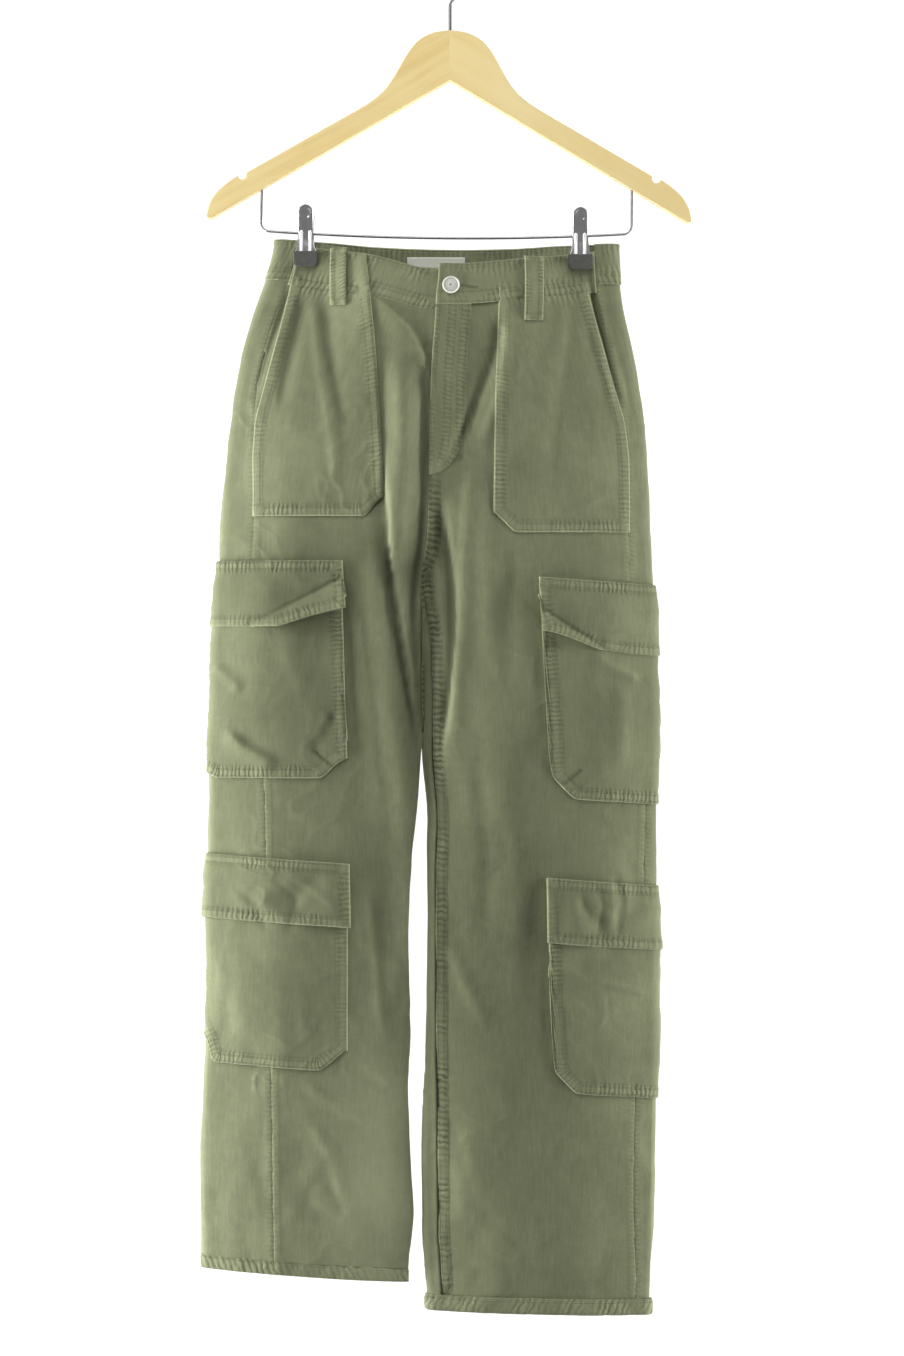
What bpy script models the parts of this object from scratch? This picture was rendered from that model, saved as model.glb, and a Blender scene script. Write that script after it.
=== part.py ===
"""Cargo trousers hanging from the clips of a wooden hanger.

Left and right are the wearer's. The wearer faces -Y, so their left leg is at +X. The origin is the
inside top of the hanger's hook, where a rail carries it. Lengths in the tables are millimetres, and a
"drop" is the distance down from the top of the wooden hanger.
"""

import math
from collections import namedtuple

import bmesh
import bpy
from mathutils import Matrix, Vector

MM = 0.001

# Hanger
HOOK_HEIGHT = 69.0  # from the top of the wood up to the inside of the hook
HOOK_INNER_RADIUS = 18.0
HOOK_WIRE_RADIUS = 1.5
BAR_WIRE_RADIUS = 1.2
WOOD_THICKNESS = 12.0
WOOD_EDGE_ROUND = 1.6
WOOD_TILT = math.radians(0.5)
WIRE_HOLE_CLEARANCE = 0.35
HOOK_HOLE_DEPTH = 22.0
BAR_HOLE_DEPTH = 12.0

# Cloth
SEAM_GAP = 0.4
LAYER_GAP = 0.6
PANEL_WALL = 1.6
BAND_PROUD = 0.3
BAND_WALL = 2.2
PATCH_WALL = 1.2
LOOP_WALL = 1.2
HEM_PROUD = 0.4
HEM_WALL = 2.4
LABEL_WALL = 1.0

# Garment
BAND_HEIGHT = 38.0
FRONT_TOP_DROP = 218.0  # lowest point of the front of the waist
BACK_TOP_DROP = 201.5
WAIST_DIP_X = 8.0
CROTCH_DROP = 508.0
CROTCH_CLOSING = 66.0  # length over which the rise curls under into the legs
HEM_DEPTH = 13.0
PINCH_HALF = 2.6  # from the middle of the closed waist to the outside of the cloth, under a clip
PINCH_FLAT = 13.0
PINCH_RISE = 52.0  # towards the centre; towards the outer edge it opens over what is left
PINCH_FULL_DROP = 232.0
PINCH_END_DROP = 360.0
FLY_END_DROP = 414.0
FLY_WIDTH = 32.0

# Clips
CLIP_X = {"right": -133.5, "left": 121.4}
CLIP_TIP_TOP = {"right": 205.5, "left": 208.3}
TIP_HEIGHT = 14.0
TIP_WIDTH = 22.6
TIP_THICKNESS = 5.0
PLATE_THICKNESS = 1.0
SPRING_OUTER_RADIUS = 4.0
SPRING_LENGTH = 9.0

# Button
BUTTON_X = 1.4
BUTTON_DROP = 238.0
BUTTON_RADIUS = 8.1
BUTTON_HEIGHT = 3.2

# Rows down the panels
TORSO_ROWS = 9
LEG_ROWS = 12
FRONT_COLUMNS = 14
FRONT_CROWDING = 1.22  # above 1, the columns crowd towards the centre and the inseam
BACK_FLAT_COLUMNS = 6
ARC_COLUMNS = 4
INNER_COLUMNS = 4
BAND_STATIONS = (-13.0, 0.0, 13.0, 28.0, 44.0, 62.0, 84.0)  # inwards from the clip

# Each panel is one length of cloth. Its solid is divided at the crotch and the knee, by row number.
PANEL_PARTS = (("hip", 0, TORSO_ROWS), ("thigh", TORSO_ROWS, 15), ("shin", 15, TORSO_ROWS + LEG_ROWS))

SIGN = {"right": -1, "left": 1}

# Outline of each half. outer and inner are X at the edges of the flattened leg. Above the crotch inner
# is the centre seam. seam_in is how far in from the outer edge the side seam shows on the front, and
# wrap is how far the inseam has turned round the inner edge on to the front.
Outline = namedtuple("Outline", "drop outer inner seam_in wrap")
OUTLINE = {
    "right": (
        Outline(195, -161.0, -11.0, 1.5, 0),
        Outline(232, -170.5, -11.5, 3.5, 0),
        Outline(250, -178.0, -12.0, 9.5, 0),
        Outline(269, -185.0, -13.0, 15.0, 0),
        Outline(306, -195.0, -16.0, 20.0, 0),
        Outline(342, -200.5, -17.5, 20.5, 0),
        Outline(382, -206.0, -18.5, 24.0, 0),
        Outline(452, -212.5, -19.5, 31.0, 0),
        Outline(492, -214.5, -22.5, 32.0, 0),
        Outline(508, -215.0, -28.0, 33.0, 0),
        Outline(542, -216.5, -28.1, 35.0, -2),
        Outline(604, -219.5, -28.6, 40.0, -3),
        Outline(650, -223.0, -26.1, 47.0, -3),
        Outline(682, -224.0, -26.3, 51.0, -3),
        Outline(700, -224.2, -28.2, 53.0, -3),
        Outline(734, -225.0, -30.0, 54.5, -3),
        Outline(771, -224.5, -35.6, 54.5, -3),
        Outline(845, -224.5, -39.5, 56.0, -3),
        Outline(895, -225.0, -36.3, 58.0, -3),
        Outline(938, -226.0, -35.6, 60.0, -3),
        Outline(1003, -231.5, -38.5, 67.0, -3),
        Outline(1050, -233.0, -35.2, 69.0, -3),
        Outline(1106, -232.5, -32.4, 69.0, -3),
        Outline(1166, -230.0, -41.0, 68.5, -3),
    ),
    "left": (
        Outline(199, 157.0, -11.0, 9.0, 0),
        Outline(232, 159.0, -11.5, 9.5, 0),
        Outline(250, 160.0, -12.0, 9.5, 0),
        Outline(269, 163.5, -13.0, 11.5, 0),
        Outline(306, 172.0, -16.0, 15.5, 0),
        Outline(342, 179.0, -17.5, 18.0, 0),
        Outline(382, 183.0, -18.5, 18.0, 0),
        Outline(452, 186.5, -19.5, 20.0, 0),
        Outline(492, 188.5, -22.5, 21.5, 0),
        Outline(508, 189.0, -28.0, 22.0, 0),
        Outline(542, 190.0, -27.5, 20.0, 8),
        Outline(575, 190.5, -26.6, 17.0, 13),
        Outline(650, 191.5, -25.5, 13.0, 12),
        Outline(682, 192.0, -25.0, 11.0, 12),
        Outline(700, 192.3, -21.0, 10.0, 12),
        Outline(771, 193.0, -21.5, 12.0, 11),
        Outline(855, 192.0, -21.0, 13.0, 11),
        Outline(938, 191.5, -23.0, 16.5, 13),
        Outline(1003, 193.0, -25.0, 21.0, 16),
        Outline(1050, 192.0, -26.0, 21.5, 18),
        Outline(1106, 190.5, -27.0, 18.5, 18),
        Outline(1143, 188.5, -22.5, 16.0, 17),
        Outline(1194, 186.0, -20.0, 12.0, 16),
    ),
}

# How far the hanging cloth stands from its middle plane, front and back, and the radius of its edges.
Depth = namedtuple("Depth", "drop front back edge_radius")
DEPTHS = (
    Depth(195, 15.0, 15.0, 4.5),
    Depth(255, 17.0, 18.0, 4.5),
    Depth(342, 22.0, 25.0, 5.0),
    Depth(452, 24.0, 27.0, 5.0),
    Depth(604, 22.0, 24.0, 5.0),
    Depth(734, 20.0, 22.0, 5.0),
    Depth(883, 19.0, 21.0, 5.0),
    Depth(1050, 17.0, 19.0, 5.0),
    Depth(1194, 15.0, 17.0, 5.0),
)
EDGE_EASE = 72.0  # the cloth rises from its edge radius to its full depth over this length

# The largest folds of the front. path holds (drop, x) points, and height is out from the cloth.
Fold = namedtuple("Fold", "name side width height path")
FOLDS = (
    Fold("bulge_to_thigh", "right", 11, 6.0, ((268, -47), (340, -44), (430, -49), (511, -52), (596, -42), (669, -28))),
    Fold("beside_fly", "right", 4.5, -6.0, ((262, -46), (290, -30), (318, -23), (390, -24.5), (436, -28), (490, -35))),
    Fold("thigh_hollow", "right", 9, -7.0, ((462, -68), (511, -66), (568, -60), (644, -48), (730, -45))),
    Fold("thigh_ridge", "right", 10, 3.5, ((480, -84), (640, -70), (720, -61), (800, -62))),
    Fold("beside_placket", "left", 6, -4.0, ((262, 44), (312, 34), (345, 26), (380, 20), (409, 10), (440, -1))),
    Fold("inner_ridge", "left", 8, 6.0, ((392, 24), (457, 9), (529, 5), (590, 0), (644, -5), (690, -7))),
    Fold("inner_hollow", "left", 6, -5.0, ((470, -9), (501, -8), (559, -9), (606, -11), (663, -12.5))),
    Fold("shin_fold", "left", 16, 4.0, ((1003, 2), (1085, 24), (1160, 84))),
)
FOLD_FADE = 0.16  # the share of a fold's length over which each end dies away

Hem = namedtuple("Hem", "drop middle_x slope")
HEMS = {"right": Hem(1155.6, -137.0, 0.071), "left": Hem(1189.3, 83.0, 0.0225)}

# Cargo pockets sit on the side seam and wrap round the outer edge of the leg.
Cargo = namedtuple("Cargo", "name side edge_top edge_bottom flap_top flap_depth flap_curl bottom corner slope")
CARGOS = (
    Cargo("upper_right", "right", -100.0, -94.0, 493, 61, 9.0, 694, 19, 0.0),
    Cargo("upper_left", "left", 84.0, 92.0, 508, 66, 9.0, 712, 22, 0.07),
    Cargo("lower_right", "right", -94.5, -94.5, 773, 59, 0.0, 966, 21, -0.07),
    Cargo("lower_left", "left", 91.0, 94.0, 786, 60, 0.0, 984, 22, 0.08),
)
CARGO_MOUTH_BELOW_FLAP = 14.0
CARGO_GAP = 1.2
CARGO_PUFF = 2.6
CARGO_PUFF_WIDTH = 90.0  # a face narrower than this stands off less
CARGO_EDGE_PUFF = 0.6
CARGO_FLAT_COLUMNS = 4
CARGO_ROWS = 5
FLAP_FLARE = 2.2  # how far a flap's free edge stands off

# Patch pockets: the hand opening slants from the band to the side seam.
Patch = namedtuple("Patch", "side opening_top_x opening_end_drop inner_path bottom corner")
PATCHES = (
    Patch("right", -139.0, 372, ((206, -75), (250, -73), (306, -67), (432, -59.5)), 452, 19),
    Patch("left", 119.5, 376, ((206, 48), (282, 44.5), (370, 42), (441, 40)), 467, 20),
)

# Belt loops: x of the middle, drop of the top, length, and whether the loop is on the front.
Loop = namedtuple("Loop", "name side x top length front")
LOOPS = (
    Loop("belt_loop_right", "right", -100.7, 202.5, 54, True),
    Loop("belt_loop_left", "left", 75.5, 211.0, 60, True),
    Loop("belt_loop_back_right", "right", -92.0, 202.0, 54, False),
    Loop("belt_loop_back_centre", "right", -22.0, 206.0, 54, False),
    Loop("belt_loop_back_left", "left", 84.0, 204.0, 54, False),
)
LOOP_WIDTH = 15.5
LOOP_RISE = 2.2

# Clip plate, from the tip up: height above the tip, half width, distance of its middle from the bar's
# plane, and depth of its side flanges.
PlateRow = namedtuple("PlateRow", "height half_width reach flange")
PLATE_TOP_RADIUS = 7.0


def smooth(t):
    t = min(max(t, 0.0), 1.0)
    return t * t * (3 - 2 * t)


def curve_through(points, at):
    """Value at `at` of a smooth curve through (position, value) points in rising order of position."""
    if at <= points[0][0]:
        return points[0][1]
    if at >= points[-1][0]:
        return points[-1][1]
    slopes = [(b[1] - a[1]) / (b[0] - a[0]) for a, b in zip(points, points[1:])]
    tangents = [slopes[0]] + [(a + b) / 2 for a, b in zip(slopes, slopes[1:])] + [slopes[-1]]
    for i, (a, b) in enumerate(zip(points, points[1:])):
        if at <= b[0]:
            span = b[0] - a[0]
            t = (at - a[0]) / span
            start = (1 + 2 * t) * (1 - t) ** 2 * a[1] + t * (1 - t) ** 2 * span * tangents[i]
            end = t * t * (3 - 2 * t) * b[1] + t * t * (t - 1) * span * tangents[i + 1]
            return start + end


def read(table, column, drop):
    return curve_through([(row.drop, getattr(row, column)) for row in table], drop)


# --- the surface of the hanging cloth ---------------------------------------------------------------


def front_top(x):
    slope = 0.14 if x < WAIST_DIP_X else 0.115
    return FRONT_TOP_DROP - slope * (math.hypot(x - WAIST_DIP_X, 20) - 20)


def back_top(x):
    slope = 0.06 if x < 0 else 0.03
    return BACK_TOP_DROP - slope * (math.hypot(x, 30) - 30)


def pinch(side, x, drop):
    """How far the waist is closed at a place: 1 under the clip, and 0 where nothing pulls it shut."""
    down = 1 - smooth((drop - PINCH_FULL_DROP) / (PINCH_END_DROP - PINCH_FULL_DROP))
    if not down:
        return 0.0
    beyond = SIGN[side] * (x - CLIP_X[side])
    rise = PINCH_RISE
    if beyond > 0:
        flat_end = abs(read(OUTLINE[side], "outer", drop)) - read(DEPTHS, "edge_radius", drop)
        rise = max(flat_end - abs(CLIP_X[side]) - PINCH_FLAT, 1.0)
    return down * (1 - smooth((abs(beyond) - PINCH_FLAT) / rise))


def fold_height(side, x, drop):
    total = 0.0
    for fold in FOLDS:
        if fold.side != side:
            continue
        from_inner = abs(x - read(OUTLINE[side], "inner", drop))
        top, bottom = fold.path[0][0], fold.path[-1][0]
        along = (drop - top) / (bottom - top)
        if 0 < along < 1:
            strength = smooth(along / FOLD_FADE) * smooth((1 - along) / FOLD_FADE)
            away = (x - curve_through(fold.path, drop)) / fold.width
            total += fold.height * strength * smooth(from_inner / 5) * math.exp(-away * away)
    return total


def quarter_arc(drop):
    return math.pi / 2 * read(DEPTHS, "edge_radius", drop)


def unrolled_width(side, drop):
    """Length of one face of the flattened half, from the outer edge to the inner edge."""
    radius = read(DEPTHS, "edge_radius", drop)
    width = abs(read(OUTLINE[side], "inner", drop) - read(OUTLINE[side], "outer", drop))
    return width - 2 * radius + math.pi * radius


def along_of_x(side, drop, x):
    """The unrolled place of an X on the face, measured from the outer edge."""
    radius = read(DEPTHS, "edge_radius", drop)
    inward = abs(x - read(OUTLINE[side], "outer", drop))
    if inward < radius:
        return radius * math.acos(1 - inward / radius)
    return quarter_arc(drop) + inward - radius


def face_depth(side, x, drop, front, open_at_centre):
    """Distance of the cloth from its middle plane, away from the rounded edges."""
    radius = read(DEPTHS, "edge_radius", drop)
    full = read(DEPTHS, "front" if front else "back", drop)
    from_outer = abs(x - read(OUTLINE[side], "outer", drop)) - radius
    ease = math.sin(math.pi / 2 * min(max(from_outer / EDGE_EASE, 0), 1))
    if not open_at_centre:
        from_inner = abs(x - read(OUTLINE[side], "inner", drop)) - radius
        ease *= math.sin(math.pi / 2 * min(max(from_inner / EDGE_EASE, 0), 1))
    depth = radius + (full - radius) * ease
    depth += (PINCH_HALF - depth) * pinch(side, x, drop)
    if front:
        depth += fold_height(side, x, drop)
    return depth


def half_section(side, drop, along, open_at_centre):
    """Point (x, y) of the section of one half at an unrolled place: front above 0, back below."""
    sign = SIGN[side]
    radius = read(DEPTHS, "edge_radius", drop)
    quarter = quarter_arc(drop)
    total = unrolled_width(side, drop)
    outer = read(OUTLINE[side], "outer", drop)
    inner = read(OUTLINE[side], "inner", drop)
    front = along >= 0
    place = abs(along)
    if not open_at_centre and place > total:
        front = not front
        place = 2 * total - place
    if place < quarter:
        turn = place / radius
        x = outer - sign * radius * (1 - math.cos(turn))
        depth = radius * math.sin(turn)
    elif place > total - quarter and open_at_centre:
        x = inner + sign * radius * (total - place) / quarter
        depth = face_depth(side, x, drop, front, True)
    elif place > total - quarter:
        turn = (total - place) / radius
        x = inner + sign * radius * (1 - math.cos(turn))
        depth = radius * math.sin(turn)
    else:
        x = outer - sign * (radius + place - quarter)
        depth = face_depth(side, x, drop, front, open_at_centre)
    return x, -depth if front else depth


def middle_surface(side, drop, along):
    """Point on the outside of the cloth, in millimetres below the hook."""
    legs = smooth((drop - (CROTCH_DROP - CROTCH_CLOSING)) / CROTCH_CLOSING)
    x, y = 0.0, 0.0
    for weight, open_at_centre in ((1 - legs, True), (legs, False)):
        if weight > 0:
            part = half_section(side, drop, along, open_at_centre)
            x += weight * part[0]
            y += weight * part[1]
    return Vector((x, y, -HOOK_HEIGHT - drop))


def skin(side, drop, along, out=0.0):
    """Point at a distance out from the outside of the cloth, in metres."""
    step = 0.4
    across = middle_surface(side, drop, along + step) - middle_surface(side, drop, along - step)
    down = middle_surface(side, drop + step, along) - middle_surface(side, drop - step, along)
    normal = across.cross(down).normalized() * SIGN[side]
    return (middle_surface(side, drop, along) + normal * out) * MM


# --- objects ----------------------------------------------------------------------------------------


def clear_scene():
    for old in list(bpy.data.objects):
        bpy.data.objects.remove(old, do_unlink=True)


def collection(name):
    made = bpy.data.collections.new(name)
    bpy.context.scene.collection.children.link(made)
    return made


def principled(name, colour, roughness, metallic=0.0):
    material = bpy.data.materials.new(name)
    material.use_nodes = True
    shader = material.node_tree.nodes["Principled BSDF"]
    shader.inputs["Base Color"].default_value = (*colour, 1.0)
    shader.inputs["Roughness"].default_value = roughness
    shader.inputs["Metallic"].default_value = metallic
    material.diffuse_color = (*colour, 1.0)
    return material


def place(name, data, material, home):
    made = bpy.data.objects.new(name, data)
    if not data.materials:
        data.materials.append(material)
    home.objects.link(made)
    return made


def mesh_from(bm, name):
    mesh = bpy.data.meshes.new(name)
    bm.to_mesh(mesh)
    bm.free()
    mesh.shade_smooth()
    mesh.set_sharp_from_angle(angle=math.radians(50))
    return mesh


def cloth_wall(name, outside, inside, material, home, ring=False):
    """A wall between two grids of points. A ring closes on itself across its columns."""
    bm = bmesh.new()
    outer, inner = ([[bm.verts.new(point) for point in row] for row in grid] for grid in (outside, inside))
    columns = len(outside[0])
    spans = columns if ring else columns - 1
    for r in range(len(outside) - 1):
        for c in range(spans):
            n = (c + 1) % columns
            corners = [(r, c), (r, n), (r + 1, n), (r + 1, c)]
            a, b, d, e = (outside[i][j] for i, j in corners)
            if (a - d).length > (b - e).length:
                corners = corners[1:] + corners[:1]
            for wall, order in ((outer, (0, 1, 2, 3)), (inner, (2, 1, 0, 3))):
                quad = [wall[i][j] for i, j in corners]
                first, second, third, fourth = (quad[i] for i in order)
                bm.faces.new((first, second, third))
                bm.faces.new((first, third, fourth))
    for row, step in ((0, -1), (-1, 1)):
        for c in range(spans):
            n = (c + 1) % columns
            edge = (outer[row][c], outer[row][n], inner[row][n], inner[row][c])
            bm.faces.new(edge[::step])
    if not ring:
        for column, step in ((0, 1), (-1, -1)):
            for r in range(len(outside) - 1):
                edge = (outer[r][column], outer[r + 1][column], inner[r + 1][column], inner[r][column])
                bm.faces.new(edge[::step])
    if bm.calc_volume(signed=True) < 0:
        bmesh.ops.reverse_faces(bm, faces=bm.faces)
    return place(name, mesh_from(bm, name), material, home)


# --- cloth pieces -----------------------------------------------------------------------------------


def panel_drop(side, x, level, front):
    """Drop of a row at an X: the top rows follow the waistband, and the bottom rows the hem."""
    band_bottom = (front_top(x) if front else back_top(x)) + BAND_HEIGHT
    middle = FRONT_TOP_DROP + BAND_HEIGHT
    hem = HEMS[side]
    near_band = 1 - smooth((level - middle) / 150)
    near_hem = smooth((level - (hem.drop - 200)) / 200)
    return level + (band_bottom - middle) * near_band + hem.slope * (x - hem.middle_x) * near_hem


def settle(side, level, place_at, front):
    """Drop and unrolled place of a grid point, whose place along its row depends on its drop."""
    drop = level
    for _ in range(4):
        along = place_at(drop)
        drop = panel_drop(side, middle_surface(side, drop, along).x, level, front)
    return drop, place_at(drop)


def row_levels(side):
    top = FRONT_TOP_DROP + BAND_HEIGHT + SEAM_GAP
    bottom = HEMS[side].drop - HEM_DEPTH
    torso = [top + (CROTCH_DROP - top) * i / TORSO_ROWS for i in range(TORSO_ROWS)]
    legs = [CROTCH_DROP + (bottom - CROTCH_DROP) * i / LEG_ROWS for i in range(LEG_ROWS + 1)]
    return torso + legs


def side_seam(side, drop):
    outer = read(OUTLINE[side], "outer", drop)
    return along_of_x(side, drop, outer - SIGN[side] * read(OUTLINE[side], "seam_in", drop))


def front_places(side):
    """Places of a front panel's columns, closer together towards the centre and the inseam."""

    def at(share):
        def place_at(drop):
            start = side_seam(side, drop) + SEAM_GAP / 2
            end = unrolled_width(side, drop) - read(OUTLINE[side], "wrap", drop) - SEAM_GAP / 2
            return end - (end - start) * share**FRONT_CROWDING

        return place_at

    return [at(1 - i / FRONT_COLUMNS) for i in range(FRONT_COLUMNS + 1)]


def back_places(side):
    """Places of a back panel's columns, from the side seam round the outer edge to the inseam."""

    def part(number, share):
        def place_at(drop):
            quarter = quarter_arc(drop)
            total = unrolled_width(side, drop)
            wrap = read(OUTLINE[side], "wrap", drop)
            seam = side_seam(side, drop) - SEAM_GAP / 2
            lip = min(quarter, seam * 0.5)
            stops = (seam, lip, -quarter, -(total - quarter), -(total + wrap) + SEAM_GAP / 2)
            return stops[number] + (stops[number + 1] - stops[number]) * share

        return place_at

    columns = (2, ARC_COLUMNS, BACK_FLAT_COLUMNS, INNER_COLUMNS)
    places = [part(n, i / count) for n, count in enumerate(columns) for i in range(count)]
    return places + [part(3, 1.0)]


def make_panels(cloth, home):
    for side in SIGN:
        levels = row_levels(side)
        for face, places in (("front", front_places(side)), ("back", back_places(side))):
            for part, first, last in PANEL_PARTS:
                starts = levels[first] + (SEAM_GAP if first else 0.0)
                grids = ([], [])
                for level in (starts, *levels[first + 1 : last + 1]):
                    spots = [settle(side, level, place_at, face == "front") for place_at in places]
                    for grid, out in zip(grids, (0.0, -PANEL_WALL)):
                        grid.append([skin(side, drop, along, out) for drop, along in spots])
                cloth_wall(f"{face}_{side}_{part}", *grids, cloth, home)


def make_hems(cloth, home):
    for side in SIGN:
        hem = HEMS[side]
        grids = ([], [])
        for level in (hem.drop - HEM_DEPTH + SEAM_GAP, hem.drop):
            fronts = [settle(side, level, p, True) for p in front_places(side)]
            backs = [settle(side, level, p, False) for p in back_places(side)]
            spots = fronts[:-1] + list(reversed(backs[1:]))
            for grid, out in zip(grids, (HEM_PROUD, HEM_PROUD - HEM_WALL)):
                grid.append([skin(side, drop, along, out) for drop, along in spots])
        cloth_wall(f"hem_{side}", *grids, cloth, home, ring=True)


def band_rows(side, face, top_at):
    """Rows of (side, drop, place) for a stretch of the waistband, from the side seam to the centre."""
    sign = SIGN[side]
    rows = []
    for share in (0.0, 0.5, 1.0):

        def spot(x):
            drop = top_at(x) + BAND_HEIGHT * share
            return side, drop, face * along_of_x(side, drop, x)

        middle = top_at(CLIP_X[side]) + BAND_HEIGHT * share
        seam = side_seam(side, middle)
        row = []
        if face > 0:
            drop = top_at(middle_surface(side, middle, seam).x) + BAND_HEIGHT * share
            row.append((side, drop, seam + SEAM_GAP / 2))
        else:
            quarter = quarter_arc(middle)
            for along in (seam - SEAM_GAP / 2, quarter / 2, 0.0, -quarter / 2, -quarter):
                drop = top_at(middle_surface(side, middle, along).x) + BAND_HEIGHT * share
                row.append((side, drop, along))
        row += [spot(CLIP_X[side] - sign * station) for station in BAND_STATIONS]
        end = read(OUTLINE[side], "inner", middle)
        row.append(spot((CLIP_X[side] - sign * BAND_STATIONS[-1] + end) / 2))
        row.append(spot(end + sign * SEAM_GAP / 2))
        rows.append(row)
    return rows


def wall_on_skin(name, rows, inner, outer, material, home):
    grids = [[[skin(*spot, out) for spot in row] for row in rows] for out in (outer, inner)]
    return cloth_wall(name, *grids, material, home)


def make_waistband(cloth, home):
    inner, outer = BAND_PROUD - BAND_WALL, BAND_PROUD
    for side in SIGN:
        wall_on_skin(f"waistband_{side}", band_rows(side, 1, front_top), inner, outer, cloth, home)
    halves = [band_rows(side, -1, back_top) for side in SIGN]
    rows = [right[:-1] + list(reversed(left[:-1])) for right, left in zip(*halves)]
    wall_on_skin("waistband_back", rows, inner, outer, cloth, home)


def make_fly(cloth, home):
    """The overlap of the left front over the right, wide at the band and ending in a J."""
    top = FRONT_TOP_DROP + BAND_HEIGHT + SEAM_GAP
    curve = 46.0
    rows, columns = 8, 3
    grids = ([], [])
    for i in range(rows + 1):
        drop = top + (FLY_END_DROP - top) * i / rows
        bend = max(0.0, (drop - (FLY_END_DROP - curve)) / curve)
        width = FLY_WIDTH * math.sqrt(max(0.02, 1 - bend * bend))
        edge = unrolled_width("left", drop) - SEAM_GAP / 2
        for grid, on_top in zip(grids, (True, False)):
            row = []
            for j in range(columns + 1):
                share = j / columns
                out = LAYER_GAP + (1.3 - 0.5 * share if on_top else 0.0)
                row.append(skin("left", drop, edge - width * share, out))
            grid.append(row)
    cloth_wall("fly_placket", *grids, cloth, home)


def patch_drops(patch, x):
    """Drops of a patch pocket's rows at an X: over the waistband, then in step with the panel's rows."""
    band = [front_top(x) + 0.4 + (BAND_HEIGHT - 0.2) * share for share in (0.0, 0.5, 1.0)]
    corner_top = patch.bottom - patch.corner
    levels = [level for level in row_levels(patch.side)[1:] if level < corner_top - 8]
    levels += [corner_top, patch.bottom]
    return band + [panel_drop(patch.side, x, level, True) for level in levels]


def patch_spot(patch, number, share):
    """A point of a patch pocket, from its slanted opening, share 0, to its inner edge, share 1."""
    sign = SIGN[patch.side]
    outer = read(OUTLINE[patch.side], "outer", patch.opening_end_drop)
    seam_x = outer - sign * (read(OUTLINE[patch.side], "seam_in", patch.opening_end_drop) + 0.6)
    top = front_top(patch.opening_top_x)
    x = patch.opening_top_x
    for _ in range(4):
        drop = patch_drops(patch, x)[number]
        slant = min(max((drop - top) / (patch.opening_end_drop - top), 0), 1)
        opening = patch.opening_top_x + (seam_x - patch.opening_top_x) * slant
        if slant == 1:
            opening = middle_surface(patch.side, drop, side_seam(patch.side, drop) + 0.6).x
        cut = patch.corner * smooth((drop - patch.bottom + patch.corner) / patch.corner)
        inner = curve_through(patch.inner_path, drop) + sign * cut
        x = opening + (inner - opening) * share
    return patch.side, drop, along_of_x(patch.side, drop, x)


def make_patch_pockets(cloth, home):
    columns = 8
    base = BAND_PROUD + LAYER_GAP
    for patch in PATCHES:
        numbers = range(len(patch_drops(patch, 0.0)))
        rows = [[patch_spot(patch, number, j / columns) for j in range(columns + 1)] for number in numbers]
        wall_on_skin(f"patch_pocket_{patch.side}", rows, base, base + PATCH_WALL, cloth, home)


def make_belt_loops(cloth, home):
    rows = 4
    for loop in LOOPS:
        base = BAND_PROUD + LAYER_GAP + 0.3
        if loop.front:
            base += PATCH_WALL + 0.4
        face = 1 if loop.front else -1
        grids = ([], [])
        for i in range(rows + 1):
            drop = loop.top + loop.length * i / rows
            lift = LOOP_RISE * math.sin(math.pi * i / rows)
            ends = [along_of_x(loop.side, drop, loop.x + dx) for dx in (-LOOP_WIDTH / 2, LOOP_WIDTH / 2)]
            for grid, out in zip(grids, (base + lift + LOOP_WALL, base + lift)):
                grid.append([skin(loop.side, drop, face * along, out) for along in ends])
        cloth_wall(loop.name, *grids, cloth, home)


def cargo_edges(cargo, level):
    """Unrolled places of a cargo pocket's front and back edges, evenly about the side seam."""
    depth = (level - cargo.flap_top) / (cargo.bottom - cargo.flap_top)
    edge_x = cargo.edge_top + (cargo.edge_bottom - cargo.edge_top) * min(max(depth, 0), 1)
    front = along_of_x(cargo.side, level, edge_x)
    return front, 2 * side_seam(cargo.side, level) - front


def cargo_places(cargo, level, trim):
    """A row's places from the front edge to the back edge, in step with the leg round its outer edge."""
    front, back = cargo_edges(cargo, level)
    quarter = quarter_arc(level)
    lip = min(quarter, side_seam(cargo.side, level) * 0.5)
    stops = ((front - trim, lip, CARGO_FLAT_COLUMNS), (lip, -quarter, ARC_COLUMNS))
    stops += ((-quarter, back + trim, CARGO_FLAT_COLUMNS - 1),)
    places = [a + (b - a) * i / count for a, b, count in stops for i in range(count)]
    return places + [back + trim]


def cargo_spot(cargo, level, along):
    """The bottom and the flap slope a little across the front."""
    front, _ = cargo_edges(cargo, level)
    return cargo.side, level + cargo.slope * (front - max(along, 0.0)), along


def cargo_lift(cargo, level, along):
    """How far the pocket cloth stands off the leg: most in the middle of each face."""
    front, back = cargo_edges(cargo, level)
    face_width = front if along > 0 else -back
    inward = (front - along if along > 0 else along - back) / face_width
    inward = min(max(inward, 0.0), 1.0)
    puff = CARGO_PUFF * min(face_width / CARGO_PUFF_WIDTH, 1.0)
    mouth = cargo.flap_top + CARGO_MOUTH_BELOW_FLAP
    down = min(max((level - mouth) / (cargo.bottom - mouth), 0), 1)
    profile = (0.5 + 0.5 * smooth(down / 0.3)) * min(1.0, (1 - down) / 0.35) ** 0.7
    return profile * (puff * math.sin(math.pi * inward) + CARGO_EDGE_PUFF * smooth(inward))


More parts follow.
